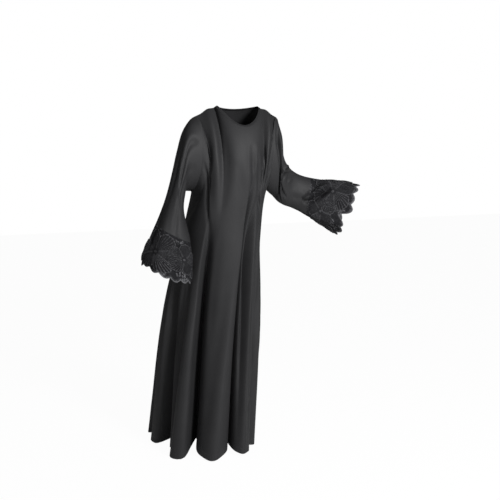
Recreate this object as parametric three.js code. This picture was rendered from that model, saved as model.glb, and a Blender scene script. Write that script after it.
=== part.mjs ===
// A floor-length abaya as it is worn: a loose flared robe with bell sleeves and lace cuffs.
// Units are millimetres. +X is the wearer's left, -Y the front and +Z up. The origin lies between
// the two neck points, where the shoulders hold the garment. Heights in the tables are above the hem.
import * as THREE from "three";

// Driving sizes
const LENGTH = 1388; // neck point to hem
const WALL = 2; // cloth thickness, doubled at its seams and hems
const SEAM_GAP = 0.34; // between two pieces that are sewn together
const BLEND_HEIGHT = 900; // the skirt's rings end here and the yoke begins
const HEM_LIFT = 0.28; // how far the hem rises for each millimetre of a fold's depth
const NECK = { halfWidth: 95, front: 89, back: 59, frontDrop: 76, backDrop: 10, centreY: 7 };
const SHOULDER = { left: 166, right: -172, drop: 34 };
const NECK_ANGLE = 30; // columns of the body within this angle of the front end at the neckline
const SHOULDER_ANGLE = 46; // and within this one at the shoulder seam, the rest at the armhole
const BINDING = { height: 12, thickness: 2.4, lean: 0.35 };
const RELIEF = 1.3; // thickness of the embroidered petals on the lace
const SCALLOP = { count: 14, depth: 13 };
const CLOTH = { color: 0x121214, roughness: 0.55, metalness: 0 };
const LACE = { color: 0x1c1c1f, roughness: 0.7, metalness: 0 };

// Rings of the skirt: centre, half width and half depth, and the turn of its depth towards the left
const SKIRT = [
  { height: 0, x: -130, y: 124, halfWidth: 168, halfDepth: 258, turn: 35 },
  { height: 650, x: -79, y: 86, halfWidth: 154, halfDepth: 204, turn: 40 },
  { height: 1058, x: -26, y: 40, halfWidth: 156, halfDepth: 135, turn: 0 },
];

// Hanging folds: place round the skirt at the hem and at mid height, in degrees from the front
// towards the left, depth (negative for a ridge) and half width in millimetres, and the height at
// which the fold dies out
const FOLDS = [
  { hem: -76, mid: -82, hemDepth: 84, midDepth: 34, hemWidth: 22, midWidth: 15, top: 940 },
  { hem: -55, mid: -62, hemDepth: -26, midDepth: -5, hemWidth: 46, midWidth: 36, top: 800 },
  { hem: -49, mid: -57, hemDepth: 9, midDepth: 9, hemWidth: 20, midWidth: 16, top: 800 },
  { hem: -27, mid: -33, hemDepth: 104, midDepth: 44, hemWidth: 23, midWidth: 15, top: 960 },
  { hem: 12.5, mid: 15, hemDepth: 92, midDepth: 42, hemWidth: 21, midWidth: 14, top: 1180 },
  { hem: 20.5, mid: 26.5, hemDepth: 44, midDepth: 30, hemWidth: 16, midWidth: 13, top: 1080 },
  { hem: 39, mid: 44, hemDepth: 66, midDepth: 34, hemWidth: 21, midWidth: 16, top: 1000 },
  { hem: 74, mid: 72, hemDepth: 70, midDepth: 30, hemWidth: 24, midWidth: 18, top: 940 },
  { hem: 106, mid: 104, hemDepth: 84, midDepth: 38, hemWidth: 25, midWidth: 18, top: 1040 },
  { hem: 134, mid: 133, hemDepth: 66, midDepth: 32, hemWidth: 22, midWidth: 17, top: 900 },
  { hem: 163, mid: 160, hemDepth: 92, midDepth: 42, hemWidth: 25, midWidth: 18, top: 1120 },
  { hem: 192, mid: 190, hemDepth: 72, midDepth: 34, hemWidth: 22, midWidth: 17, top: 960 },
  { hem: 219, mid: 221, hemDepth: 86, midDepth: 38, hemWidth: 24, midWidth: 18, top: 1060 },
  { hem: 240, mid: 246, hemDepth: 58, midDepth: 26, hemWidth: 20, midWidth: 16, top: 900 },
];

// Direction in which the cloth reaches its top edge, for the left half, by angle from the front
const ARRIVAL = [
  { angle: 0, x: 0, y: 0.42, z: 0.9 },
  { angle: 30, x: 0.05, y: 0.6, z: 0.8 },
  { angle: 38, x: 0.1, y: 0.8, z: 0.6 },
  { angle: 46, x: 0.3, y: 0.6, z: 0.74 },
  { angle: 52, x: 0.32, y: 0.3, z: 0.9 },
  { angle: 60, x: 0.36, y: 0.12, z: 0.92 },
  { angle: 74, x: 0.38, y: 0, z: 0.92 },
  { angle: 90, x: 0.4, y: 0, z: 0.92 },
  { angle: 106, x: 0.38, y: 0, z: 0.92 },
  { angle: 120, x: 0.36, y: -0.15, z: 0.92 },
  { angle: 128, x: 0.32, y: -0.35, z: 0.88 },
  { angle: 134, x: 0.3, y: -0.6, z: 0.74 },
  { angle: 142, x: 0.1, y: -0.85, z: 0.5 },
  { angle: 150, x: 0.05, y: -0.8, z: 0.6 },
  { angle: 180, x: 0, y: -0.5, z: 0.86 },
];

// Armholes, from the underarm up to the shoulder point
const ARMHOLES = {
  leftFront: [
    { x: 130, y: 30, height: 1062 },
    { x: 128, y: 0, height: 1076 },
    { x: 129, y: -34, height: 1124 },
    { x: 131, y: -47, height: 1202 },
    { x: 135, y: -42, height: 1276 },
    { x: 148, y: -22, height: 1334 },
    { x: SHOULDER.left, y: NECK.centreY, height: LENGTH - SHOULDER.drop },
  ],
  leftBack: [
    { x: 130, y: 30, height: 1062 },
    { x: 134, y: 56, height: 1074 },
    { x: 146, y: 82, height: 1124 },
    { x: 154, y: 96, height: 1202 },
    { x: 159, y: 84, height: 1276 },
    { x: 165, y: 46, height: 1334 },
    { x: SHOULDER.left, y: NECK.centreY, height: LENGTH - SHOULDER.drop },
  ],
  rightFront: [
    { x: -182, y: 40, height: 1062 },
    { x: -178, y: 8, height: 1076 },
    { x: -172, y: -34, height: 1124 },
    { x: -165, y: -52, height: 1202 },
    { x: -160, y: -46, height: 1276 },
    { x: -162, y: -22, height: 1332 },
    { x: SHOULDER.right, y: NECK.centreY, height: LENGTH - SHOULDER.drop },
  ],
  rightBack: [
    { x: -182, y: 40, height: 1062 },
    { x: -182, y: 64, height: 1076 },
    { x: -178, y: 88, height: 1124 },
    { x: -172, y: 96, height: 1202 },
    { x: -168, y: 84, height: 1276 },
    { x: -167, y: 46, height: 1332 },
    { x: SHOULDER.right, y: NECK.centreY, height: LENGTH - SHOULDER.drop },
  ],
};

// Rings of each sleeve beyond the armhole: a point on its upper line, one on its lower line, how far
// the cloth stands in front of and behind the chord between them, and the way that its front faces,
// in degrees from the garment's front towards the left
const LEFT_SLEEVE = [
  { ux: 184, uy: 8, uh: 1308, lx: 152, ly: 32, lh: 1046, front: 66, back: 74, facing: 0 },
  { ux: 193, uy: 10, uh: 1236, lx: 170, ly: 36, lh: 1032, front: 62, back: 68, facing: -3 },
  { ux: 208, uy: 16, uh: 1192, lx: 192, ly: 40, lh: 1010, front: 58, back: 62, facing: -8 },
  { ux: 228, uy: 26, uh: 1160, lx: 220, ly: 42, lh: 994, front: 54, back: 58, facing: -14 },
  { ux: 258, uy: 32, uh: 1134, lx: 252, ly: 40, lh: 983, front: 50, back: 54, facing: -19 },
  { ux: 296, uy: 26, uh: 1115, lx: 288, ly: 32, lh: 968, front: 47, back: 51, facing: -22 },
  { ux: 346, uy: 10, uh: 1103, lx: 322, ly: 18, lh: 945, front: 46, back: 50, facing: -22 },
  { ux: 402, uy: -13, uh: 1094, lx: 354, ly: 4, lh: 920, front: 45, back: 48, facing: -22 },
  { ux: 460, uy: -38, uh: 1086, lx: 390, ly: -9, lh: 892, front: 44, back: 46, facing: -22 },
  { ux: 518, uy: -60, uh: 1068, lx: 430, ly: -24, lh: 862, front: 43, back: 45, facing: -22 },
];
const RIGHT_SLEEVE = [
  { ux: -207, uy: 6, uh: 1312, lx: -213, ly: 36, lh: 1060, front: 72, back: 72, facing: 0 },
  { ux: -236, uy: 6, uh: 1224, lx: -220, ly: 30, lh: 1030, front: 74, back: 66, facing: -4 },
  { ux: -256, uy: 8, uh: 1142, lx: -224, ly: 16, lh: 996, front: 72, back: 58, facing: -9 },
  { ux: -274, uy: 12, uh: 1070, lx: -221, ly: 0, lh: 958, front: 68, back: 50, facing: -14 },
  { ux: -294, uy: 16, uh: 1004, lx: -215, ly: -16, lh: 914, front: 62, back: 44, facing: -19 },
  { ux: -320, uy: 18, uh: 940, lx: -210, ly: -30, lh: 868, front: 58, back: 40, facing: -21 },
  { ux: -346, uy: 20, uh: 880, lx: -209, ly: -40, lh: 816, front: 55, back: 38, facing: -22 },
  { ux: -368, uy: 20, uh: 828, lx: -212, ly: -46, lh: 762, front: 52, back: 36, facing: -22 },
  { ux: -388, uy: 20, uh: 780, lx: -217, ly: -50, lh: 708, front: 50, back: 36, facing: -22 },
];

// A long fold on each sleeve: where it starts and ends, in rings along and degrees round from the
// upper line towards the front, with its depth at the opening and its half width in degrees
const LEFT_FOLD = { from: 5, to: 10, fromAngle: 168, toAngle: 118, depth: 26, width: 15 };
const RIGHT_FOLD = { from: 4, to: 9, fromAngle: 60, toAngle: 74, depth: 18, width: 16 };

// Flowers on each cuff: place round from the upper line towards the front in degrees, place along
// from the seam (0) to the edge (1), radius, number of petals, and turn in degrees
const LEFT_FLOWERS = [
  { around: 72, along: 0.5, radius: 92, petals: 6, turn: 10 },
  { around: 146, along: 0.42, radius: 66, petals: 5, turn: 40 },
  { around: 200, along: 0.66, radius: 60, petals: 5, turn: 0 },
  { around: 274, along: 0.48, radius: 90, petals: 6, turn: 24 },
  { around: 344, along: 0.6, radius: 62, petals: 5, turn: 60 },
];
const RIGHT_FLOWERS = [
  { around: 60, along: 0.52, radius: 90, petals: 6, turn: 0 },
  { around: 134, along: 0.46, radius: 68, petals: 5, turn: 30 },
  { around: 196, along: 0.62, radius: 60, petals: 5, turn: 15 },
  { around: 268, along: 0.5, radius: 88, petals: 6, turn: 44 },
  { around: 338, along: 0.58, radius: 64, petals: 5, turn: 70 },
];

// Divisions of the walls
const ARMHOLE_COLUMNS = 12;
const SHOULDER_COLUMNS = 6;
const NECK_COLUMNS = { front: 20, back: 16 };
const HEM_ROWS = [0, 0.06, 0.16, 0.29, 0.44, 0.61, 0.8, 1];
const YOKE_ROWS = 9;
const RING = 2 * ARMHOLE_COLUMNS;
const CUFF_RING = 3 * RING;
const CUFF_ROWS = 10;
const CROWDING = { samples: 200, most: 1.3, reach: 8 }; // columns that gather at a fold, degrees

const radians = THREE.MathUtils.degToRad;
const { lerp, smoothstep } = THREE.MathUtils;

function place(x, y, height) {
  return new THREE.Vector3(x, y, height - LENGTH);
}

/** Smooth value of one column of a table at a position given by another, through every row. */
function along(table, by, column, position) {
  const last = table.length - 1;
  let i = table.findIndex((row) => row[by] >= position) - 1;
  i = position >= table[last][by] ? last - 1 : Math.max(i, 0);
  const slope = (k) => {
    const a = table[Math.max(k - 1, 0)];
    const b = table[Math.min(k + 1, last)];
    return (b[column] - a[column]) / (b[by] - a[by]);
  };
  const span = table[i + 1][by] - table[i][by];
  const u = (position - table[i][by]) / span;
  return hermite(table[i][column], slope(i) * span, table[i + 1][column], slope(i + 1) * span, u);
}

function hermite(start, startSlope, end, endSlope, u) {
  const v = 1 - u;
  return start * (1 + 2 * u) * v * v + startSlope * u * v * v
    + end * u * u * (3 - 2 * u) - endSlope * u * u * v;
}

function bell(x) {
  return Math.exp(-x * x);
}

/** Smallest turn from one angle to another, in degrees. */
function turnBetween(a, b) {
  return THREE.MathUtils.euclideanModulo(b - a + 180, 360) - 180;
}

// Skirt and yoke

/** Point of the skirt without its folds. */
function skirtRing(angle, height) {
  const at = (column) => along(SKIRT, "height", column, height);
  const turned = radians(angle - at("turn"));
  const radius = 1 / Math.hypot(Math.cos(turned) / at("halfDepth"), Math.sin(turned) / at("halfWidth"));
  const a = radians(angle);
  return place(at("x") + radius * Math.sin(a), at("y") - radius * Math.cos(a), height);
}

/** Angle at a height of the column of cloth that starts at an angle of the hem: it follows the folds. */
function columnAngle(column, height) {
  const stops = [
    ...FOLDS.map((fold) => ({ hem: fold.hem, drift: fold.mid - fold.hem })),
    ...[-90, 90, 270].map((seam) => ({ hem: seam, drift: 0 })),
  ].sort((a, b) => a.hem - b.hem);
  const turned = THREE.MathUtils.euclideanModulo(column + 90, 360) - 90;
  const next = stops.findIndex((stop) => stop.hem > turned);
  const before = stops[next - 1];
  const share = (turned - before.hem) / (stops[next].hem - before.hem);
  return column + lerp(before.drift, stops[next].drift, share) * height / SKIRT[1].height;
}

/** How deep the folds press the cloth inwards at a height of a column. */
function foldDepth(column, height) {
  const up = height / SKIRT[1].height;
  const radius = lerp(210, 160, Math.min(up, 1.6) / 1.6);
  return FOLDS.reduce((depth, fold) => {
    const offset = radians(turnBetween(fold.hem, column)) * radius;
    const width = Math.max(lerp(fold.hemWidth, fold.midWidth, up), 11);
    const fade = 1 - smoothstep(height, fold.top - 320, fold.top);
    const strength = lerp(fold.hemDepth, fold.midDepth, Math.min(up, 1.2));
    return depth + strength * fade * bell(offset / width);
  }, 0);
}

/** Point of the neckline, by angle from the front. */
function neckline(angle, isFront) {
  const a = radians(angle / NECK_ANGLE * 90);
  const depth = isFront ? -NECK.front : NECK.back;
  const drop = isFront ? NECK.frontDrop : NECK.backDrop;
  const y = NECK.centreY + depth * Math.cos(a);
  return place(NECK.halfWidth * Math.sin(a), y, LENGTH - drop * Math.cos(a) ** 1.8);
}

const armholeCurves = Object.fromEntries(Object.entries(ARMHOLES).map(([name, rows]) => {
  const points = rows.map((row) => place(row.x, row.y, row.height));
  return [name, new THREE.CatmullRomCurve3(points, false, "centripetal")];
}));

/** Top edge of the body where its column at this angle ends: neckline, shoulder or armhole. */
function topEdge(angle) {
  const isFront = Math.abs(turnBetween(0, angle)) <= 90;
  const fromMiddle = isFront ? turnBetween(0, angle) : -turnBetween(180, angle);
  const side = fromMiddle < 0 ? "right" : "left";
  const away = Math.abs(fromMiddle);
  if (away <= NECK_ANGLE) {
    return neckline(fromMiddle, isFront);
  }
  if (away <= SHOULDER_ANGLE) {
    const u = (away - NECK_ANGLE) / (SHOULDER_ANGLE - NECK_ANGLE);
    const neck = neckline(Math.sign(fromMiddle) * NECK_ANGLE, isFront);
    return neck.lerp(place(SHOULDER[side], NECK.centreY, LENGTH - SHOULDER.drop), u);
  }
  const curve = armholeCurves[side + (isFront ? "Front" : "Back")];
  return curve.getPointAt(THREE.MathUtils.clamp((90 - away) / (90 - SHOULDER_ANGLE), 0, 1));
}

function arrival(angle) {
  const turned = turnBetween(0, angle);
  const at = (column) => along(ARRIVAL, "angle", column, Math.abs(turned));
  return new THREE.Vector3(Math.sign(turned) * at("x"), at("y"), at("z")).normalize();
}

/** Point of a column without its folds. Level 0 to 1 is the skirt from the hem, 1 to 2 the yoke. */
function bodyBase(column, level) {
  const skirt = (height) => skirtRing(columnAngle(column, height), height);
  if (level <= 1) {
    return skirt(lerp(HEM_LIFT * foldDepth(column, 0), BLEND_HEIGHT, level));
  }
  const start = skirt(BLEND_HEIGHT);
  const end = topEdge(column);
  const reach = start.distanceTo(end);
  const step = 5;
  const leaving = start.clone().sub(skirt(BLEND_HEIGHT - step)).multiplyScalar(reach / step);
  const arriving = arrival(column).multiplyScalar(reach);
  const u = level - 1;
  const mix = (axis) => hermite(start[axis], leaving[axis], end[axis], arriving[axis], u);
  return new THREE.Vector3(mix("x"), mix("y"), mix("z"));
}

function bodyPoint(column, level) {
  const point = bodyBase(column, level);
  const depth = foldDepth(column, point.z + LENGTH);
  const low = Math.min(level, 1.96);
  const rise = bodyBase(column, low + 0.04).sub(bodyBase(column, low));
  const round = bodyBase(column + 1, level).sub(bodyBase(column - 1, level));
  const outward = round.cross(rise).normalize();
  outward.z = 0;
  return point.addScaledVector(outward, -depth);
}

/** Angles between two corners, closer together where a fold is. */
function columnsBetween(start, end, count) {
  const { samples, most, reach } = CROWDING;
  const total = [0];
  for (let i = 1; i <= samples; i += 1) {
    const angle = lerp(start, end, (i - 0.5) / samples);
    const crowd = FOLDS.map((fold) => most * bell(turnBetween(fold.hem, angle) / reach));
    total.push(total[i - 1] + 1 + Math.max(...crowd));
  }
  return Array.from({ length: count }, (_, k) => {
    const wanted = total[samples] * (k + 1) / count;
    const i = total.findIndex((sum) => sum >= wanted - 1e-9);
    const part = (wanted - total[i - 1]) / (total[i] - total[i - 1]);
    return lerp(start, end, (i - 1 + part) / samples);
  });
}

function evenly(start, end, count) {
  return Array.from({ length: count }, (_, k) => lerp(start, end, (k + 1) / count));
}

/** Angles of a panel's columns: armhole, shoulder, neckline, shoulder and armhole. */
function panelColumns(middle, neckCount) {
  const at = (angle) => middle + angle;
  return [
    at(-90),
    ...evenly(at(-90), at(-SHOULDER_ANGLE), ARMHOLE_COLUMNS),
    ...evenly(at(-SHOULDER_ANGLE), at(-NECK_ANGLE), SHOULDER_COLUMNS),
    ...columnsBetween(at(-NECK_ANGLE), at(NECK_ANGLE), neckCount),
    ...evenly(at(NECK_ANGLE), at(SHOULDER_ANGLE), SHOULDER_COLUMNS),
    ...evenly(at(SHOULDER_ANGLE), at(90), ARMHOLE_COLUMNS),
  ];
}

function bodyGrid(middle, neckCount) {
  const levels = [...HEM_ROWS, ...evenly(1, 2, YOKE_ROWS)];
  const columns = panelColumns(middle, neckCount);
  return { rows: levels.map((level) => columns.map((angle) => bodyPoint(angle, level))), closed: false };
}

/** The binding stands on the neckline, along the columns of both panels. */
function bindingGrid() {
  const front = panelColumns(0, NECK_COLUMNS.front).filter((angle) => Math.abs(angle) < NECK_ANGLE + 0.01);
  const back = panelColumns(180, NECK_COLUMNS.back)
    .filter((angle) => Math.abs(angle - 180) < NECK_ANGLE - 0.01);
  const edge = [...front, ...back].map(topEdge);
  const raised = edge.map((point) => {
    const inward = new THREE.Vector3(-point.x, NECK.centreY - point.y, 0).normalize();
    const rise = inward.multiplyScalar(BINDING.lean).setZ(1).normalize();
    return point.clone().addScaledVector(rise, BINDING.height);
  });
  return { rows: [edge, raised], closed: true };
}

// Sleeves

/** Point of one ring of a sleeve. The angle goes from the upper line (0) by the front to the lower. */
function ringPoint(stations, index, angle) {
  const row = stations[index];
  const upper = place(row.ux, row.uy, row.uh);
  const lower = place(row.lx, row.ly, row.lh);
  const chord = upper.clone().sub(lower);
  const facing = radians(row.facing);
  const front = new THREE.Vector3(Math.sin(facing), -Math.cos(facing), 0);
  const a = radians(angle);
  const bulge = Math.sin(a) > 0 ? row.front : row.back;
  return upper.add(lower).multiplyScalar(0.5)
    .addScaledVector(chord, Math.cos(a) / 2)
    .addScaledVector(front, bulge * Math.sin(a));
}

/** Point of the armhole at an angle of the sleeve: 180 is the underarm, 0 the shoulder. */
function armholePoint(side, angle) {
  const turned = turnBetween(0, angle);
  const curve = armholeCurves[side + (turned >= 0 ? "Front" : "Back")];
  return curve.getPointAt(1 - Math.abs(turned) / 180);
}

/** Sleeve without its folds: smooth lines from the armhole through each ring. */
function sleeveBase(sleeve, angle, position) {
  const last = sleeve.stations.length;
  const i = THREE.MathUtils.clamp(Math.floor(position), 0, last - 1);
  const at = (k) => {
    const index = THREE.MathUtils.clamp(k, 0, last);
    return index === 0 ? armholePoint(sleeve.side, angle) : ringPoint(sleeve.stations, index - 1, angle);
  };
  const points = [at(i - 1), at(i), at(i + 1), at(i + 2)];
  const u = position - i;
  const mix = (axis) => {
    const [before, start, end, after] = points.map((point) => point[axis]);
    const startSlope = (end - before) / (i === 0 ? 1 : 2);
    const endSlope = (after - start) / (i === last - 1 ? 1 : 2);
    return hermite(start, startSlope, end, endSlope, u);
  };
  return new THREE.Vector3(mix("x"), mix("y"), mix("z"));
}

function sleevePoint(sleeve, angle, position) {
  const { fold } = sleeve;
  const point = sleeveBase(sleeve, angle, position);
  const u = THREE.MathUtils.clamp((position - fold.from) / (fold.to - fold.from), 0, 1);
  const offset = turnBetween(lerp(fold.fromAngle, fold.toAngle, u), angle);
  const depth = fold.depth * u * bell(offset / fold.width);
  const round = sleeveBase(sleeve, angle + 2, position).sub(sleeveBase(sleeve, angle - 2, position));
  const low = Math.max(position - 0.1, 0);
  const onward = sleeveBase(sleeve, angle, low + 0.1).sub(sleeveBase(sleeve, angle, low));
  const outward = (sleeve.flip ? round.cross(onward) : onward.cross(round)).normalize();
  return point.addScaledVector(outward, depth);
}

/** Ring angles in the order of the armhole's columns, from the underarm by the front. */
function ringAngles(count) {
  return Array.from({ length: count }, (_, k) => 180 - 360 * k / count);
}

function sleeveGrid(sleeve) {
  const angles = ringAngles(RING);
  const rows = sleeve.rows.map((position) => angles.map((angle) => sleevePoint(sleeve, angle, position)));
  return { rows, closed: true, flip: sleeve.flip };
}

/** Outline of a flower: the radius in one direction, as a share of its full radius. */
function petalReach(flower, direction) {
  const wave = Math.abs(Math.cos(flower.petals / 2 * direction + radians(flower.turn)));
  return 0.62 + 0.38 * wave ** 0.7;
}

/** Thickness of the petals at a place on a cuff, in millimetres round and along it. */
function petalRelief(sleeve, angle, share) {
  return Math.max(...sleeve.flowers.map((flower) => {
    const round = turnBetween(flower.around, angle) / 360 * sleeve.girth;
    const down = (share - flower.along) * sleeve.cuffLength;
    const distance = Math.hypot(round, down);
    const edge = flower.radius * petalReach(flower, Math.atan2(down, round));
    return RELIEF * (1 - smoothstep(distance, edge - 9, edge));
  }));
}

function cuffGrid(sleeve) {
  const angles = ringAngles(CUFF_RING);
  const last = sleeve.stations.length;
  const seam = sleeve.rows.at(-1);
  const shares = [0, ...evenly(0, 1, CUFF_ROWS)];
  const edgeShare = (angle) => {
    const wave = Math.abs(Math.sin(radians(SCALLOP.count / 2 * angle)));
    return 1 - SCALLOP.depth / sleeve.cuffLength * (1 - wave);
  };
  const rows = shares.map((share) => angles.map((angle) => {
    return sleevePoint(sleeve, angle, lerp(seam, last, share * edgeShare(angle)));
  }));
  const raise = shares.map((share, k) => angles.map((angle) => {
    return k === 0 ? 0 : petalRelief(sleeve, angle, share * edgeShare(angle));
  }));
  return { rows, raise, closed: true, flip: sleeve.flip };
}

// Walls

/** Outward direction at each point of a grid, from its neighbours. */
function gridNormals({ rows, closed, flip }) {
  const last = rows.length - 1;
  return rows.map((row, i) => row.map((_, j) => {
    const columns = row.length;
    const next = closed ? (j + 1) % columns : Math.min(j + 1, columns - 1);
    const before = closed ? (j + columns - 1) % columns : Math.max(j - 1, 0);
    const round = row[next].clone().sub(row[before]);
    const up = rows[Math.min(i + 1, last)][j].clone().sub(rows[Math.max(i - 1, 0)][j]);
    return round.cross(up).multiplyScalar(flip ? -1 : 1).normalize();
  }));
}

function keyOf(point) {
  return [point.x, point.y, point.z].map((value) => Math.round(value * 20)).join(",");
}

function isBorder(grid, i, j) {
  const atSide = !grid.closed && (j === 0 || j === grid.rows[0].length - 1);
  return i === 0 || i === grid.rows.length - 1 || atSide;
}

/** Gives pieces that meet at a seam the same outward direction there, so their walls line up. */
function shareNormals(grids) {
  const sums = new Map();
  const eachBorder = (visit) => grids.forEach((grid) => {
    grid.rows.forEach((row, i) => row.forEach((point, j) => {
      if (isBorder(grid, i, j)) {
        visit(keyOf(point), grid.normals[i][j]);
      }
    }));
  });
  eachBorder((key, normal) => {
    const sum = sums.get(key) ?? new THREE.Vector3();
    sums.set(key, sum.add(normal));
  });
  eachBorder((key, normal) => normal.copy(sums.get(key)).normalize());
}

/** Moves a border point square to the border and into its piece, by half the gap at a seam. */
function trimmed(grid, i, j) {
  const { rows, closed, ownNormals } = grid;
  const lastRow = rows.length - 1;
  const columns = rows[0].length;
  const point = rows[i][j];
  const at = (row, column) => rows[row]?.[closed ? (column + columns) % columns : column];
  const square = (a, b, neighbour) => {
    const inward = ownNormals[i][j].clone().cross(b.clone().sub(a)).normalize();
    return inward.multiplyScalar(Math.sign(inward.dot(neighbour.clone().sub(point))));
  };
  const moved = point.clone();
  const mitre = (before, after, neighbour) => {
    const first = square(before ?? point, before ? point : after, neighbour);
    const second = square(after ? point : before, after ?? point, neighbour);
    const reach = SEAM_GAP * 0.6 / (1 + first.dot(second));
    moved.addScaledVector(first.add(second), reach);
  };
  if (i === 0 || i === lastRow) {
    mitre(at(i, j - 1), at(i, j + 1), rows[i === 0 ? 1 : lastRow - 1][j]);
  }
  if (!closed && (j === 0 || j === columns - 1)) {
    mitre(at(i - 1, j), at(i + 1, j), rows[i][j === 0 ? 1 : columns - 2]);
  }
  return moved;
}

/** Closed wall from a grid of outer points: outer face, inner face and the edges between them. */
function wallGeometry(grid, thickness) {
  const { rows, normals, closed, raise } = grid;
  const columns = rows[0].length;
  const count = rows.length * columns;
  const positions = [];
  const faces = [];
  const outer = [];
  const inner = [];
  rows.forEach((row, i) => row.forEach((_, j) => {
    const point = trimmed(grid, i, j);
    outer.push(point.clone().addScaledVector(normals[i][j], raise ? raise[i][j] : 0));
    inner.push(point.addScaledVector(normals[i][j], -thickness));
  }));
  [...outer, ...inner].forEach((point) => positions.push(point.x, point.y, point.z));
  const quad = (a, b, c, d) => {
    const corners = grid.flip ? [a, d, c, b] : [a, b, c, d];
    faces.push(corners[0], corners[1], corners[2], corners[0], corners[2], corners[3]);
  };
  const index = (i, j) => i * columns + j % columns;
  const lastRow = rows.length - 1;
  const spans = closed ? columns : columns - 1;
  for (let j = 0; j < spans; j += 1) {
    for (let i = 0; i < lastRow; i += 1) {
      const corners = [index(i, j), index(i, j + 1), index(i + 1, j + 1), index(i + 1, j)];
      quad(...corners);
      quad(...corners.reverse().map((corner) => corner + count));
    }
    quad(index(0, j) + count, index(0, j + 1) + count, index(0, j + 1), index(0, j));
    quad(index(lastRow, j), index(lastRow, j + 1), index(lastRow, j + 1) + count, index(lastRow, j) + count);
  }
  for (let i = 0; !closed && i < lastRow; i += 1) {
    const end = columns - 1;
    quad(index(i, 0), index(i + 1, 0), index(i + 1, 0) + count, index(i, 0) + count);
    quad(index(i, end) + count, index(i + 1, end) + count, index(i + 1, end), index(i, end));
  }
  const geometry = new THREE.BufferGeometry();
  geometry.setAttribute("position", new THREE.Float32BufferAttribute(positions, 3));
  geometry.setIndex(faces);
  geometry.computeVertexNormals();
  return geometry;
}

// Assembly

const leftSleeve = {
  side: "left",
  stations: LEFT_SLEEVE,
  rows: [0, 0.5, 1, 1.7, 2.5, 3.3, 4.1, 4.9, 5.8, 6.7],
  fold: LEFT_FOLD,
  flowers: LEFT_FLOWERS,
  girth: 500,
  cuffLength: 190,
  flip: true,
};
const rightSleeve = {
  side: "right",
  stations: RIGHT_SLEEVE,
  rows: [0, 0.5, 1, 1.6, 2.3, 3, 3.8, 4.6, 5.3, 6],
  fold: RIGHT_FOLD,
  flowers: RIGHT_FLOWERS,
  girth: 480,
  cuffLength: 185,
  flip: false,
};

const pieces = [
  { name: "body_front", grid: bodyGrid(0, NECK_COLUMNS.front), thickness: WALL, look: CLOTH },
  { name: "body_back", grid: bodyGrid(180, NECK_COLUMNS.back), thickness: WALL, look: CLOTH },
  { name: "neck_binding", grid: bindingGrid(), thickness: BINDING.thickness, look: CLOTH },
  { name: "sleeve_left", grid: sleeveGrid(leftSleeve), thickness: WALL, look: CLOTH },
  { name: "sleeve_right", grid: sleeveGrid(rightSleeve), thickness: WALL, look: CLOTH },
  { name: "cuff_left", grid: cuffGrid(leftSleeve), thickness: WALL, look: LACE },
  { name: "cuff_right", grid: cuffGrid(rightSleeve), thickness: WALL, look: LACE },
];

pieces.forEach(({ grid }) => {
  grid.normals = gridNormals(grid);
  grid.ownNormals = gridNormals(grid);
});
shareNormals(pieces.map((piece) => piece.grid));

const abaya = new THREE.Group();
abaya.name = "abaya";
pieces.forEach((piece) => {
  const material = new THREE.MeshStandardMaterial(piece.look);
  const mesh = new THREE.Mesh(wallGeometry(piece.grid, piece.thickness), material);
  mesh.name = piece.name;
  abaya.add(mesh);
});

export default abaya;
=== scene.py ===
# %% [markdown]
# # Black abaya with lace cuffs
# An abaya is a loose robe of black crepe that is pulled over the head. This lesson builds one as it hangs
# when it is worn: two flared panels, two bell sleeves, and a wide border of embroidered lace at each cuff.
# It could be simulated as cloth, but a simulation gives other folds each time. Here every surface is a
# function of two parameters, worked out with numpy, so each fold stays where it was placed.
# All sizes are metres, +Z is up and the front faces -Y. Angles are degrees from the front to the left.

# %% Frame
import math

import bpy
import numpy as np
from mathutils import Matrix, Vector


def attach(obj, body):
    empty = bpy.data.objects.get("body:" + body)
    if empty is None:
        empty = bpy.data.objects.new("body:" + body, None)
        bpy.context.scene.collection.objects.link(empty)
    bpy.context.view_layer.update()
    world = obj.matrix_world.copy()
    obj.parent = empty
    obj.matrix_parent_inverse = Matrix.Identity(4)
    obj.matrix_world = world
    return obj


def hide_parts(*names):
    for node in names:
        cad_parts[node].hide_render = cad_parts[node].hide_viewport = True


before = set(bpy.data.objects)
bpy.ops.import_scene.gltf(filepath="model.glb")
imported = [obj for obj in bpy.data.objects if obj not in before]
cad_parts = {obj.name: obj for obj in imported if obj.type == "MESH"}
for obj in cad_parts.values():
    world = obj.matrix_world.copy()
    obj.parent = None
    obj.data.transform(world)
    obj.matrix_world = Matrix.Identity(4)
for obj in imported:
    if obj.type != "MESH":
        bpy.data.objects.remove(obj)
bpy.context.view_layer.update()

# %% [markdown]
# ## Driving sizes
# A cutter starts from a few sizes: the length from neck point to hem, the neckline and the shoulder points.
# Everything else follows from them. The two angles say where a panel's columns end: on the neckline up to
# the first, on the shoulder up to the second, and on the armhole from there to the side seam at 90 degrees.

# %% Sizes of the cut
LENGTH = 1.388
NECK_HALF_WIDTH = 0.095
NECK_FRONT, NECK_BACK = 0.089, 0.059
NECK_FRONT_DROP, NECK_BACK_DROP = 0.076, 0.010
NECK_CENTRE_Y = 0.007
SHOULDER_LEFT, SHOULDER_RIGHT, SHOULDER_DROP = 0.166, -0.172, 0.034
NECK_ANGLE, SHOULDER_ANGLE = 30, 46
print(f"{LENGTH} m from neck point to hem and {SHOULDER_LEFT - SHOULDER_RIGHT:.3f} m across the shoulders")

# %% [markdown]
# ## Tables
# A form that changes along its length is written as a table, with a row for each place that was measured.
# One helper turns rows into a numpy array for each named column, so formulas can use whole columns.

# %% Tables
def table(columns, *rows):
    """A table of numbers: one array for each named column."""
    return dict(zip(columns.split(), np.array(rows, float).T))


print("A table:", table("height width", (0.0, 0.30), (0.5, 0.24)))

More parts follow.
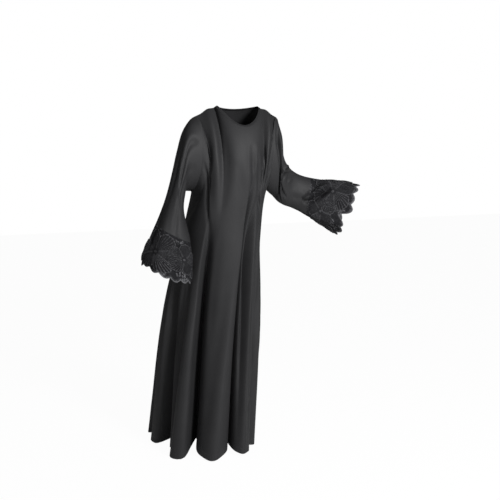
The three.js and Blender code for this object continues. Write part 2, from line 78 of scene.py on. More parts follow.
# %% [markdown]
# ## Skirt outline
# The skirt without folds is a stack of ellipses, wide at the hem and narrow at the chest. It sweeps to the
# right and back, so each ellipse has its own middle and turn. Three rows are enough, joined smoothly.

# %% Skirt outline
SKIRT = table(
    "height x y half_width half_depth turn",
    (0.000, -0.130, 0.124, 0.168, 0.258, 35),
    (0.650, -0.079, 0.086, 0.154, 0.204, 40),
    (1.058, -0.026, 0.040, 0.156, 0.135, 0),
)
print(f"The hem without folds is {2 * SKIRT['half_width'][0]:.3f} by {2 * SKIRT['half_depth'][0]:.3f} m")

# %% [markdown]
# ## Large folds
# Crepe falls in deep vertical folds, each with its own depth, width and top. A cloth modifier or sculpting
# could make them, but a table of folds can be read and changed. Hem and mid are the angle of a fold at the
# hem and 0.65 m up. A negative depth is a ridge. A lean makes a fold wider on its left side. The second
# table lets a rounded lobe of cloth hang sideways over the fold beside it, which gives the darkest lines.
# The third lets the side seams drift round the skirt as the folds beside them do.

# %% Large folds
FOLDS = table(
    "hem mid hem_depth mid_depth hem_width mid_width lean top",
    (-82, -90, 0.084, 0.038, 0.028, 0.017, 0.1, 0.940),
    (-64, -62, 0.014, 0.022, 0.020, 0.014, 0, 0.820),
    (-54, -51, -0.042, -0.018, 0.024, 0.022, 0, 0.760),
    (-44, -42.5, 0.104, 0.060, 0.036, 0.021, 0.60, 1.000),
    (-3, 4, -0.026, -0.010, 0.040, 0.034, 0, 0.800),
    (13.5, 15, 0.098, 0.068, 0.023, 0.014, -0.20, 1.180),
    (21, 27, 0.012, 0.052, 0.012, 0.011, 0, 1.080),
    (32, 37, 0.003, 0.034, 0.014, 0.011, 0, 0.900),
    (43, 46, 0.036, 0.046, 0.021, 0.016, 0, 1.000),
    (74, 72, 0.070, 0.030, 0.024, 0.018, 0, 0.940),
    (106, 104, 0.084, 0.038, 0.025, 0.018, 0, 1.040),
    (134, 133, 0.066, 0.032, 0.022, 0.017, 0, 0.900),
    (163, 160, 0.092, 0.042, 0.025, 0.018, 0, 1.120),
    (192, 190, 0.072, 0.034, 0.022, 0.017, 0, 0.960),
    (219, 221, 0.086, 0.038, 0.024, 0.018, 0, 1.060),
    (242, 246, 0.056, 0.026, 0.022, 0.017, 0, 0.900),
)
LEANS = table(
    "hem width slip mid_slip top",
    (-50.5, 4.0, 0.048, 0.014, 0.900),
    (7.5, 3.0, 0.014, 0.006, 0.900),
)
SIDE_SEAMS = table("hem drift", (-90, -9), (90, 0))
print(f"{len(FOLDS['hem'])} folds and ridges, up to {FOLDS['hem_depth'].max():.3f} m deep at the hem")

# %% [markdown]
# ## How the yoke reaches its seams
# The cloth comes up almost straight at the neck, tips backwards over the shoulder and turns in at the
# armhole. These directions steer the smooth surface between the skirt and the top edge.

# %% Directions at the top edge
ARRIVAL = table(
    "angle x y z",
    (0, 0, 0.42, 0.90),
    (30, 0.05, 0.60, 0.80),
    (38, 0.10, 0.80, 0.60),
    (46, 0.30, 0.60, 0.74),
    (52, 0.32, 0.30, 0.90),
    (60, 0.36, 0.12, 0.92),
    (74, 0.38, 0, 0.92),
    (90, 0.40, 0, 0.92),
    (106, 0.38, 0, 0.92),
    (120, 0.36, -0.15, 0.92),
    (128, 0.32, -0.35, 0.88),
    (134, 0.30, -0.60, 0.74),
    (142, 0.10, -0.85, 0.50),
    (150, 0.05, -0.80, 0.60),
    (180, 0, -0.50, 0.86),
)
print(f"{len(ARRIVAL['angle'])} directions from the middle of the front to the middle of the back")

# %% [markdown]
# ## Armholes
# An armhole is a closed seam from the underarm to the shoulder point. It is given as a front and a back
# half between those ends, so that the panel and the sleeve can both follow the same curve and meet without
# a gap. The third number of a point is its height above the hem.

# %% Armholes
ARMHOLE_ENDS = {
    "left": ((0.130, 0.030, 1.062), (SHOULDER_LEFT, NECK_CENTRE_Y, LENGTH - SHOULDER_DROP)),
    "right": ((-0.182, 0.040, 1.062), (SHOULDER_RIGHT, NECK_CENTRE_Y, LENGTH - SHOULDER_DROP)),
}
ARMHOLE_MIDDLES = {
    ("left", "front"): (
        (0.128, 0.000, 1.076),
        (0.129, -0.034, 1.124),
        (0.131, -0.047, 1.202),
        (0.135, -0.042, 1.276),
        (0.148, -0.022, 1.334),
    ),
    ("left", "back"): (
        (0.134, 0.056, 1.074),
        (0.146, 0.082, 1.124),
        (0.154, 0.096, 1.202),
        (0.159, 0.084, 1.276),
        (0.165, 0.046, 1.334),
    ),
    ("right", "front"): (
        (-0.178, 0.008, 1.076),
        (-0.172, -0.034, 1.124),
        (-0.165, -0.052, 1.202),
        (-0.160, -0.046, 1.276),
        (-0.162, -0.022, 1.332),
    ),
    ("right", "back"): (
        (-0.182, 0.064, 1.076),
        (-0.178, 0.088, 1.124),
        (-0.172, 0.096, 1.202),
        (-0.168, 0.084, 1.276),
        (-0.167, 0.046, 1.332),
    ),
}
print(f"The armholes are {ARMHOLE_ENDS['left'][1][2] - ARMHOLE_ENDS['left'][0][2]:.3f} m high")

# %% [markdown]
# ## Left sleeve
# The left sleeve is raised to the side from its elbow on. It could be a tube along a curve, but its upper
# line and its lower line are what one sees. So each ring has a point on both lines, how far the cloth
# stands out before and behind the chord between them, and the way that it faces.

# %% Left sleeve rings
LEFT_RINGS = table(
    "ux uy uh lx ly lh front back facing",
    (0.180, 0.008, 1.308, 0.152, 0.032, 1.046, 0.066, 0.074, 0),
    (0.189, 0.010, 1.236, 0.170, 0.036, 1.032, 0.062, 0.068, -3),
    (0.205, 0.016, 1.192, 0.192, 0.040, 1.010, 0.058, 0.062, -8),
    (0.228, 0.026, 1.160, 0.220, 0.042, 0.994, 0.054, 0.058, -14),
    (0.258, 0.032, 1.134, 0.252, 0.040, 0.983, 0.050, 0.054, -19),
    (0.296, 0.026, 1.115, 0.288, 0.032, 0.968, 0.047, 0.051, -22),
    (0.346, 0.010, 1.103, 0.322, 0.018, 0.945, 0.046, 0.050, -22),
    (0.402, -0.013, 1.095, 0.354, 0.004, 0.923, 0.045, 0.048, -22),
    (0.460, -0.038, 1.090, 0.392, -0.009, 0.898, 0.044, 0.046, -22),
    (0.522, -0.061, 1.078, 0.434, -0.024, 0.867, 0.043, 0.045, -22),
)
print(f"{len(LEFT_RINGS['ux'])} rings, as far as {LEFT_RINGS['ux'].max():.3f} m to the left")

# %% [markdown]
# ## Right sleeve
# The right sleeve hangs beside the skirt and widens like a bell. It is described in the same way.

# %% Right sleeve rings
RIGHT_RINGS = table(
    "ux uy uh lx ly lh front back facing",
    (-0.214, 0.006, 1.312, -0.213, 0.036, 1.060, 0.072, 0.072, 0),
    (-0.246, 0.006, 1.224, -0.220, 0.030, 1.030, 0.074, 0.066, -4),
    (-0.268, 0.008, 1.142, -0.224, 0.016, 0.996, 0.072, 0.058, -9),
    (-0.287, 0.012, 1.070, -0.221, 0.000, 0.958, 0.068, 0.050, -14),
    (-0.308, 0.016, 1.004, -0.215, -0.016, 0.914, 0.062, 0.044, -19),
    (-0.334, 0.018, 0.940, -0.210, -0.030, 0.868, 0.058, 0.040, -21),
    (-0.362, 0.020, 0.880, -0.209, -0.040, 0.816, 0.055, 0.038, -22),
    (-0.386, 0.020, 0.828, -0.212, -0.046, 0.762, 0.052, 0.036, -22),
    (-0.396, 0.020, 0.780, -0.217, -0.050, 0.708, 0.050, 0.036, -22),
)
print(f"{len(RIGHT_RINGS['ux'])} rings, as far as {-RIGHT_RINGS['ux'].min():.3f} m to the right")

# %% [markdown]
# ## Smooth values through rows
# Straight lines between the rows would show as dents. A cubic through each pair of rows, whose slope at a
# row is the mean slope round it, keeps the cloth even and still passes every measured value.

# %% Smooth values
def hermite(start, start_slope, end, end_slope, u):
    """Cubic from start to end with the given slopes, at the share u of the way."""
    v = 1 - u
    return (
        start * (1 + 2 * u) * v * v
        + start_slope * u * v * v
        + end * u * u * (3 - 2 * u)
        - end_slope * u * u * v
    )


def smooth(rows, by, column, at):
    """One column at places in another: cubics whose slope at a row is the mean slope round it."""
    x, y = rows[by], rows[column]
    i = np.clip(np.searchsorted(x, at) - 1, 0, len(x) - 2)

    def slope(k):
        low, high = np.maximum(k - 1, 0), np.minimum(k + 1, len(x) - 1)
        return (y[high] - y[low]) / (x[high] - x[low])

    span = x[i + 1] - x[i]
    return hermite(y[i], slope(i) * span, y[i + 1], slope(i + 1) * span, (at - x[i]) / span)


print(f"0.3 m above the hem the skirt is {2 * smooth(SKIRT, 'height', 'half_depth', 0.3):.3f} m deep")

# %% [markdown]
# ## Small helpers
# A bell is the cross-section of a soft fold. A smooth step fades a fold in or out. The others turn angles,
# shorten vectors to length 1 and join coordinates to points, for whole arrays at a time.

# %% Bells, steps and turns
def bell(x):
    """exp(-x squared): 1 in the middle and near 0 beyond 2."""
    return np.exp(-(x**2))


def smoothstep(x, low, high):
    """0 below low, 1 above high and 3t^2 - 2t^3 between."""
    t = np.clip((x - low) / (high - low), 0, 1)
    return t * t * (3 - 2 * t)


def turn_between(a, b):
    """Smallest turn from a to b in degrees."""
    return (b - a + 180) % 360 - 180


def unit(vectors):
    """Vectors at length 1."""
    return vectors / np.maximum(np.linalg.norm(vectors, axis=-1, keepdims=True), 1e-12)


def stack(*axes):
    """Points from their x, y and z arrays."""
    return np.stack(np.broadcast_arrays(*axes), -1)


print(f"A bell is {bell(0.0):.2f} in the middle, {bell(1.0):.2f} at 1 and {bell(2.0):.2f} at 2")

# %% [markdown]
# ## Curves through points
# Seams are drawn through a few points. A centripetal Catmull-Rom curve passes all of them without the loops
# that an ordinary spline makes where points are unevenly spaced.

# %% Curves through points
def centripetal(points, samples=40):
    """Catmull-Rom curve whose knots are spaced by the root of the chords, as points and lengths."""
    p = np.array(points, float)
    p = np.vstack([2 * p[0] - p[1], p, 2 * p[-1] - p[-2]])
    knots = np.sqrt(np.linalg.norm(np.diff(p, axis=0), axis=1))
    t = np.linspace(0, 1, samples, endpoint=False)[:, None]
    parts = []
    for k in range(1, len(p) - 2):
        before, here, after = knots[k - 1 : k + 2]
        a, b, c, d = p[k - 1 : k + 3]
        start = ((b - a) / before - (c - a) / (before + here) + (c - b) / here) * here
        end = ((c - b) / here - (d - b) / (here + after) + (d - c) / after) * here
        parts.append(hermite(b, start, c, end, t))
    line = np.vstack([*parts, p[-2:-1]])
    lengths = np.concatenate([[0], np.cumsum(np.linalg.norm(np.diff(line, axis=0), axis=1))])
    return line, lengths / lengths[-1]


def on_curve(curve, share):
    """Points of a curve at shares of its length."""
    line, lengths = curve
    return stack(*(np.interp(share, lengths, line[:, axis]) for axis in range(3)))


ARMHOLE_CURVES = {}
for (side, half), middles in ARMHOLE_MIDDLES.items():
    underarm, shoulder_point = ARMHOLE_ENDS[side]
    seam_points = np.array([underarm, *middles, shoulder_point]) - (0, 0, LENGTH)
    ARMHOLE_CURVES[side, half] = centripetal(seam_points)
    line, _ = ARMHOLE_CURVES[side, half]
    seam_length = np.linalg.norm(np.diff(line, axis=0), axis=1).sum()
    print(f"{side} armhole, {half} half: {seam_length:.3f} m")

# %% [markdown]
# ## Small creases
# Between the large folds lie small creases, most of them where the sleeves pull at the chest. Noise would
# spread them evenly, which cloth never does. Each is given as a curve through three places, with its own
# depth and width, and a soft bank on one side of it. On a panel x is an angle and y the height. A degree
# counts as 3.3 mm, as it measures at the waist.

# %% Creases of the panels
CREASE_COLUMNS = "x0 y0 x1 y1 x2 y2 depth width bank"
BODY_CREASES = table(
    CREASE_COLUMNS,
    # chest, left of the middle, as far as the armhole
    (22, 1.320, 32.5, 1.190, 39, 1.060, 0.013, 0.0085, -0.5),
    (11, 1.220, 25, 1.069, 41, 0.950, 0.007, 0.009, 0.5),
    (43, 1.310, 52, 1.220, 60, 1.110, 0.006, 0.008, 0.4),
    (76, 1.160, 58, 1.050, 47, 0.900, 0.006, 0.011, 0.3),
    (4, 1.250, 7, 1.170, 11, 1.080, 0.007, 0.012, 0.3),
    # chest, right of the middle
    (-22, 1.300, -24, 1.150, -31, 0.980, 0.003, 0.018, 0.3),
    (-72, 1.180, -58, 1.060, -42, 0.900, 0.007, 0.012, 0.3),
    (-46, 1.300, -47, 1.190, -53, 1.080, 0.005, 0.010, 0.4),
    (-8, 1.180, -6, 1.060, 0, 0.950, 0.003, 0.016, 0.3),
    # skirt front
    (-69, 0.700, -71, 0.540, -72, 0.380, 0.012, 0.010, 0.5),
    (-61, 0.620, -60, 0.400, -64, 0.150, 0.004, 0.014, 0.4),
    (-46, 0.820, -48, 0.600, -46, 0.330, 0.004, 0.014, 0.4),
    (-27, 0.900, -24, 0.640, -20, 0.440, 0.003, 0.018, 0.3),
    (-12, 0.740, -10, 0.460, -14, 0.120, 0.003, 0.020, 0.3),
    (54, 0.820, 47, 0.460, 32, 0.160, 0.013, 0.009, 0.4),
    (60, 0.900, 63, 0.620, 60, 0.260, 0.006, 0.014, 0.4),
    # skirt and shoulders, back
    (118, 1.240, 116, 1.060, 110, 0.860, 0.009, 0.014, 0.4),
    (146, 1.300, 150, 1.130, 149, 0.960, 0.006, 0.014, 0.4),
    (176, 1.270, 180, 1.060, 174, 0.820, 0.004, 0.020, 0.3),
    (212, 1.280, 214, 1.090, 206, 0.930, 0.008, 0.013, 0.4),
    (246, 1.200, 242, 1.040, 231, 0.900, 0.006, 0.013, 0.4),
    (94, 0.700, 92, 0.470, 95, 0.200, 0.005, 0.014, 0.4),
    (119, 0.780, 122, 0.520, 119, 0.230, 0.006, 0.015, 0.4),
    (150, 0.640, 147, 0.420, 149, 0.160, 0.004, 0.016, 0.4),
    (176, 0.740, 179, 0.470, 176, 0.200, 0.007, 0.015, 0.4),
    (203, 0.860, 204, 0.600, 207, 0.330, 0.005, 0.018, 0.4),
    (231, 0.560, 228, 0.350, 231, 0.130, 0.004, 0.015, 0.4),
)
BODY_DEGREE = 0.0033
print(f"{len(BODY_CREASES['x0'])} creases on the panels, up to {BODY_CREASES['depth'].max():.3f} m deep")

# %% [markdown]
# ## Creases of the sleeves
# The raised sleeve has one deep crease at the elbow, a pouch below it and a long crease from the shoulder.
# Across its cuff runs a deep diagonal one. The hanging sleeve only has long, shallow ones. Here x is the
# angle, from the upper line (0) by the front (90) to the lower line (180), and y counts the rings, which
# are about 52 mm apart.

# %% Creases of the sleeves
LEFT_CREASES = table(
    CREASE_COLUMNS,
    # upper arm: a long crease from the shoulder by the front to under the elbow
    (24, 0.25, 94, 1.0, 156, 3.4, 0.012, 0.0090, 0.6),
    (58, 0.20, 84, 1.5, 100, 2.4, 0.004, 0.0100, 0.4),
    # elbow: a deep crease and the pouch below it
    (26, 4.60, 68, 3.05, 112, 2.05, 0.026, 0.0090, -0.45),
    (113, 2.15, 118, 2.7, 125, 4.1, 0.009, 0.0085, -0.5),
    (32, 5.00, 60, 4.1, 84, 3.6, 0.005, 0.0090, 0.5),
    # forearm and cuff
    (112, 4.70, 108, 5.6, 100, 6.5, 0.003, 0.0140, 0.4),
    (113, 6.20, 82, 7.45, 36, 8.2, 0.030, 0.0115, 0.70),
    (28, 7.30, 44, 8.9, 68, 9.8, 0.005, 0.0120, 0.4),
    (84, 8.20, 92, 9.2, 90, 10.3, 0.005, 0.0100, 0.4),
    # back
    (-58, 0.30, -74, 1.6, -70, 3.1, 0.009, 0.0120, 0.5),
    (-112, 0.40, -106, 2.0, -122, 3.5, 0.007, 0.0130, 0.5),
    (-48, 3.60, -92, 3.4, -130, 4.3, 0.010, 0.0110, 0.7),
    (-92, 4.60, -80, 6.0, -86, 7.5, 0.005, 0.0140, 0.4),
    (-70, 7.00, -58, 8.6, -62, 10.2, 0.008, 0.0120, 0.4),
    (-132, 7.20, -120, 8.8, -126, 10.2, 0.006, 0.0120, 0.4),
)
RIGHT_CREASES = table(
    CREASE_COLUMNS,
    (62, 0.20, 66, 1.5, 84, 3.1, 0.007, 0.0130, 0.4),
    (112, 0.40, 104, 2.4, 113, 4.2, 0.005, 0.0120, 0.4),
    (26, 1.60, 40, 3.2, 38, 4.9, 0.004, 0.0120, 0.4),
    (88, 3.40, 98, 4.6, 96, 6.2, 0.004, 0.0130, 0.4),
    (18, 4.40, 30, 6.3, 26, 8.6, 0.005, 0.0140, 0.4),
    (104, 5.80, 112, 7.4, 109, 9.0, 0.007, 0.0120, 0.5),
    (-58, 0.30, -70, 2.0, -64, 3.9, 0.008, 0.0120, 0.5),
    (-112, 0.50, -100, 2.6, -106, 4.4, 0.006, 0.0140, 0.4),
    (-84, 3.20, -74, 5.4, -82, 7.6, 0.005, 0.0130, 0.4),
    (-122, 5.80, -116, 7.6, -125, 9.0, 0.006, 0.0120, 0.4),
)
RING_STEP = 0.052
print(f"{len(LEFT_CREASES['x0'])} creases on the left sleeve and {len(RIGHT_CREASES['x0'])} on the right")

# %% [markdown]
# ## Pressing creases in
# For every point near a crease, the nearest place on its curve gives the distance and the side. The
# distance becomes the depth of a trough and the height of its bank, 1.9 widths beside it. The trough swells
# from its ends to its middle, a little unevenly. This is what a sculptor's crease brush does, as a formula.

# %% Pressing creases in
REACH_WIDTHS, BANK_WIDTHS, NARROW_END, SWELL_POWER = 5, 1.9, 0.65, 0.8
UNEVEN_SHARE, UNEVEN_WAVES, UNEVEN_SHIFT = 0.22, 9, 2.3


def crease_line(row, scale_x, scale_y, count=22):
    """Points of a crease: the parabola that passes its middle place halfway."""
    t = np.linspace(0, 1, count)
    weights = ((1 - t) * (1 - 2 * t), 4 * t * (1 - t), t * (2 * t - 1))
    x = sum(row[f"x{k}"] * weights[k] for k in range(3)) * scale_x
    y = sum(row[f"y{k}"] * weights[k] for k in range(3)) * scale_y
    return x, y, t


def crease_depth(creases, x, y, scale_x, scale_y):
    """How far creases press in at x, y: a trough along each curve and a soft bank on one side of it."""
    x, y = np.broadcast_arrays(x * scale_x, y * scale_y)
    depth = np.zeros(x.shape)
    for k in range(len(creases["x0"])):
        row = {name: values[k] for name, values in creases.items()}
        line_x, line_y, t = crease_line(row, scale_x, scale_y)
        reach = REACH_WIDTHS * row["width"]
        near = (x > line_x.min() - reach) & (x < line_x.max() + reach)
        near &= (y > line_y.min() - reach) & (y < line_y.max() + reach)
        if not near.any():
            continue
        from_x, from_y = x[near][:, None] - line_x[:-1], y[near][:, None] - line_y[:-1]
        run_x, run_y = np.diff(line_x), np.diff(line_y)
        share = np.clip((from_x * run_x + from_y * run_y) / (run_x**2 + run_y**2), 0, 1)
        distance = np.hypot(from_x - share * run_x, from_y - share * run_y)
        nearest = distance.argmin(1)
        spot = np.arange(len(nearest)), nearest
        side = np.sign(run_x[nearest] * from_y[spot] - run_y[nearest] * from_x[spot])
        beside = distance[spot] * side * np.sign(row["bank"])
        place = t[nearest] + share[spot] * t[1]
        uneven = 1 + UNEVEN_SHARE * np.sin(UNEVEN_WAVES * place + UNEVEN_SHIFT * k)
        swell = np.sin(np.pi * place) ** SWELL_POWER * uneven
        width = row["width"] * (NARROW_END + (1 - NARROW_END) * np.sin(np.pi * place))
        bank = np.abs(row["bank"]) * bell((beside - BANK_WIDTHS * width) / width)
        depth[near] += row["depth"] * swell * (bell(beside / width) - bank)
    return depth


chest = crease_depth(BODY_CREASES, np.array([32.5]), np.array([1.190]), BODY_DEGREE, 1)
print(f"The deepest crease of the chest is {chest[0]:.4f} m deep in its middle")

# %% [markdown]
# ## Skirt surface
# A panel is a grid of columns that run from hem to shoulder. The columns follow the folds as these drift
# round the skirt, so that the mesh lines lie along the folds and keep them crisp.

# %% Skirt surface
def column_angle(column, height):
    """Angle at a height of the column that starts at this angle of the hem: it follows the folds."""
    hems = np.concatenate([FOLDS["hem"], SIDE_SEAMS["hem"]])
    drifts = np.concatenate([FOLDS["mid"] - FOLDS["hem"], SIDE_SEAMS["drift"]])
    return column + np.interp(column, hems, drifts, period=360) * height / SKIRT["height"][1]


def skirt_point(column, height):
    """Point of the skirt without folds: an ellipse that is turned towards the left."""
    at = {name: smooth(SKIRT, "height", name, height) for name in SKIRT if name != "height"}
    angle = column_angle(column, height)
    turned, a = np.radians(angle - at["turn"]), np.radians(angle)
    radius = 1 / np.hypot(np.cos(turned) / at["half_depth"], np.sin(turned) / at["half_width"])
    return stack(at["x"] + radius * np.sin(a), at["y"] - radius * np.cos(a), height - LENGTH)


print("The middle of the front at the hem:", skirt_point(0.0, 0.0).round(3))

# %% [markdown]
# ## Depth and lean of the folds
# The folds are added up as bells round the skirt. Each fades out over the last 0.32 m below its own top,
# and keeps its strength from a little above mid height. Widths are measured round a circle that narrows from
# hem to chest. Sculpted folds would need the same care at the top, where one that ends too fast is a dent.

# %% Depth and lean of the folds
HEM_RADIUS, CHEST_RADIUS, CHEST_UP = 0.210, 0.160, 1.6
FADE_HEIGHT = 0.320
NARROWEST_FOLD = 0.011
STEADY_ABOVE = 1.2


def fold_depth(column, height):
    """How deep the large folds press in: bells round the skirt that fade out at their tops."""
    up = height / SKIRT["height"][1]
    radius = HEM_RADIUS + (CHEST_RADIUS - HEM_RADIUS) * np.minimum(up, CHEST_UP) / CHEST_UP
    depth = np.zeros(np.broadcast(column, height).shape)
    for k in range(len(FOLDS["hem"])):
        fold = {name: values[k] for name, values in FOLDS.items()}
        offset = np.radians(turn_between(fold["hem"], column)) * radius
        width = fold["hem_width"] + (fold["mid_width"] - fold["hem_width"]) * up
        strength = fold["hem_depth"] + (fold["mid_depth"] - fold["hem_depth"]) * np.minimum(up, STEADY_ABOVE)
        fade = 1 - smoothstep(height, fold["top"] - FADE_HEIGHT, fold["top"])
        side = 1 + np.sign(offset) * fold["lean"]
        depth = depth + strength * fade * bell(offset / (np.maximum(width, NARROWEST_FOLD) * side))
    return depth


def lobe_lean(column, height):
    """How far lobes lean sideways over the fold beside them, towards the left: bells round the skirt."""
    up = height / SKIRT["height"][1]
    slip = np.zeros(np.broadcast(column, height).shape)
    for hem, width, low, mid, top in zip(*LEANS.values()):
        fade = 1 - smoothstep(height, top - FADE_HEIGHT, top)
        strength = low + (mid - low) * np.minimum(up, STEADY_ABOVE)
        slip = slip + strength * fade * bell(turn_between(hem, column) / width)
    return slip


print(f"At the hem a lobe leans {lobe_lean(-50.5, 0.0):.3f} m over the fold at -44 degrees")

# %% [markdown]
# ## Neckline and shoulders
# The neckline is a low curve in front and a high one behind. A panel ends on it, then along the shoulder,
# which curves up by 7 mm on its way, and down the armhole. One function gives this whole edge, so that both
# panels share it and no seam gapes.

# %% Top edge
SHOULDER_RISE, RISE_ENDS = 0.007, 0.8
NECK_POWER = 1.8


def neckline(angle, is_front):
    """Point of the neckline by angle from the middle of its side."""
    a = np.radians(angle / NECK_ANGLE * 90)
    depth = np.where(is_front, -NECK_FRONT, NECK_BACK)
    drop = np.where(is_front, NECK_FRONT_DROP, NECK_BACK_DROP)
    fall = np.maximum(np.cos(a), 0) ** NECK_POWER
    return stack(NECK_HALF_WIDTH * np.sin(a), NECK_CENTRE_Y + depth * np.cos(a), -drop * fall)


def top_edge(column):
    """Where a column ends: on the neckline, along the shoulder or down the armhole."""
    is_front = np.abs(turn_between(0, column)) <= 90
    from_middle = np.where(is_front, turn_between(0, column), -turn_between(180, column))
    away = np.abs(from_middle)
    is_left = from_middle >= 0
    corner = np.clip(from_middle, -NECK_ANGLE, NECK_ANGLE)
    neck = neckline(corner, is_front)
    shoulder = stack(np.where(is_left, SHOULDER_LEFT, SHOULDER_RIGHT), NECK_CENTRE_Y, -SHOULDER_DROP)
    u = np.clip((away - NECK_ANGLE) / (SHOULDER_ANGLE - NECK_ANGLE), 0, 1)[..., None]
    rise = SHOULDER_RISE * np.sin(np.pi * np.minimum(u / RISE_ENDS, 1)) ** 2
    points = neck * (1 - u) + shoulder * u + rise * (0, 0, 1)
    share = np.clip((90 - away) / (90 - SHOULDER_ANGLE), 0, 1)
    for (side, half), curve in ARMHOLE_CURVES.items():
        here = (away > SHOULDER_ANGLE) & (is_left == (side == "left")) & (is_front == (half == "front"))
        points = np.where(here[..., None], on_curve(curve, share), points)
    return points


def arrival(column):
    """Direction in which a column reaches its top edge."""
    turned = turn_between(0, column)
    x, y, z = (smooth(ARRIVAL, "angle", axis, np.abs(turned)) for axis in "xyz")
    return unit(stack(np.sign(turned) * x, y, z))


print("The front of the neckline is at", top_edge(np.array([0.0]))[0].round(3))

# %% [markdown]
# ## Panel surface
# Up to 0.9 m a column follows the skirt. Above it, a cubic carries the column on to the top edge. Then the
# folds press in, the lobes lean over and the creases are added across the cloth. A fold also lifts the hem
# where it presses in, by 0.28 of its depth, because the cloth there hangs on a longer way.

# %% Panel surface
BLEND_HEIGHT = 0.900
HEM_LIFT = 0.28
STEP, LEVEL_STEP, EDGE_FADE = 0.005, 0.04, 0.12


def body_base(column, level):
    """Point without folds: level 0 to 1 is the skirt from the hem up, 1 to 2 the yoke."""
    column, level = np.broadcast_arrays(np.asarray(column, float), np.asarray(level, float))
    hem = HEM_LIFT * fold_depth(column, np.zeros_like(column))
    low = skirt_point(column, hem + (BLEND_HEIGHT - hem) * np.minimum(level, 1))
    start = skirt_point(column, np.full_like(column, BLEND_HEIGHT))
    below = skirt_point(column, np.full_like(column, BLEND_HEIGHT - STEP))
    end = top_edge(column)
    reach = np.linalg.norm(end - start, axis=-1, keepdims=True)
    leaving = (start - below) / STEP * reach
    arriving = arrival(column) * reach
    u = np.clip(level - 1, 0, 1)[..., None]
    return np.where(level[..., None] <= 1, low, hermite(start, leaving, end, arriving, u))


def body_point(column, level):
    """Point with its folds and creases."""
    point = body_base(column, level)
    height = point[..., 2] + LENGTH
    low = np.minimum(level, 2 - LEVEL_STEP)
    rise = body_base(column, low + LEVEL_STEP) - body_base(column, low)
    round_way = body_base(column + 1, level) - body_base(column - 1, level)
    outward = unit(np.cross(round_way, rise))
    level_out = outward * (1, 1, 0)
    angle = (column + 90) % 360 - 90
    creases = crease_depth(BODY_CREASES, angle, height, BODY_DEGREE, 1) * smoothstep(2 - level, 0, EDGE_FADE)
    sideways = unit(round_way * (1, 1, 0)) * lobe_lean(column, height)[..., None]
    inward = level_out * fold_depth(column, height)[..., None] + outward * creases[..., None]
    return point + sideways - inward


print("The middle of the front at the waist:", body_point(0.0, 1.0).round(3))

# %% [markdown]
# ## Sleeves and the flowers on their lace
# Each cuff carries five large flowers with six or five petals. Around is the angle round the cuff and along
# the share of its length. The scalloped edge hangs unevenly, longer in some places than in others.

# %% Sizes of the sleeves and their lace
FLOWER_COLUMNS = "around along radius petals turn"
LEFT_FLOWERS = table(
    FLOWER_COLUMNS,
    (57, 0.52, 0.084, 6, 10),
    (116, 0.38, 0.072, 5, 40),
    (190, 0.62, 0.066, 5, 0),
    (262, 0.46, 0.086, 6, 24),
    (334, 0.56, 0.066, 5, 60),
)
RIGHT_FLOWERS = table(
    FLOWER_COLUMNS,
    (60, 0.48, 0.088, 6, 0),
    (134, 0.46, 0.068, 5, 30),
    (196, 0.62, 0.060, 5, 15),
    (268, 0.50, 0.086, 6, 44),
    (338, 0.58, 0.064, 5, 70),
)
LEFT_EDGE = table("around reach width", (86, 0.013, 15), (108, -0.022, 9), (142, 0.012, 20))
RIGHT_EDGE = table("around reach width", (40, -0.010, 24), (110, 0.010, 26))
largest = 2 * LEFT_FLOWERS["radius"].max()
print(f"{len(LEFT_FLOWERS['radius'])} flowers on the left cuff, the largest {largest:.3f} m across")

# %% [markdown]
# ## What a sleeve is made of
# Each sleeve is one dictionary: its tables, the long soft fold that runs along the bell, the ring where the
# lace is sewn on, its girth and the length of the lace in metres. The surface functions take it as a whole,
# so both sleeves share all code. The last entry says which way round the rings go.

# %% Two sleeves
LEFT_SLEEVE = {
    "side": "left",
    "flowers": LEFT_FLOWERS,
    "edge": LEFT_EDGE,
    "rings": LEFT_RINGS,
    "creases": LEFT_CREASES,
    "fold": {"start": 5, "end": 10, "angle": 168, "to_angle": 118, "depth": 0.026, "width": 15},
    "seam": 6.7,
    "girth": 0.500,
    "cuff": 0.190,
    "flip": True,
}
RIGHT_SLEEVE = {
    "side": "right",
    "flowers": RIGHT_FLOWERS,
    "edge": RIGHT_EDGE,
    "rings": RIGHT_RINGS,
    "creases": RIGHT_CREASES,
    "fold": {"start": 4, "end": 9, "angle": 60, "to_angle": 74, "depth": 0.018, "width": 16},
    "seam": 6.0,
    "girth": 0.480,
    "cuff": 0.185,
    "flip": False,
}
for sleeve in (LEFT_SLEEVE, RIGHT_SLEEVE):
    print(f"{sleeve['side']}: lace from ring {sleeve['seam']} on, {sleeve['cuff']} m long")

# %% [markdown]
# ## Sleeve surface
# A sleeve is a loft: cubics run along it through the armhole and every ring. Blender's curve bevel could
# sweep a circle, but it can't change its section so freely. At the shoulder the cubics leave the seam
# outwards, which rounds the head of the sleeve.

# %% Sleeve surface
def ring_points(rings, index, angle):
    """Points of rings: the chord from the lower to the upper line, with the cloth before and behind."""
    at = {name: values[index] for name, values in rings.items()}
    upper = stack(at["ux"], at["uy"], at["uh"] - LENGTH)
    lower = stack(at["lx"], at["ly"], at["lh"] - LENGTH)
    facing = np.radians(at["facing"])
    front = stack(np.sin(facing), -np.cos(facing), 0)
    a = np.radians(angle)
    bulge = np.where(np.sin(a) > 0, at["front"], at["back"])
    middle = (upper + lower) / 2 + (upper - lower) * np.cos(a)[..., None] / 2
    return middle + front * (bulge * np.sin(a))[..., None]


def armhole_points(side, angle):
    """Points of the armhole: 180 is the underarm and 0 the shoulder."""
    turned = turn_between(0, angle)
    share = 1 - np.abs(turned) / 180
    front = on_curve(ARMHOLE_CURVES[side, "front"], share)
    back = on_curve(ARMHOLE_CURVES[side, "back"], share)
    return np.where((turned >= 0)[..., None], front, back)


SHOULDER_OUT, SHOULDER_UP, SHOULDER_REACH = 0.036, 0.010, 55


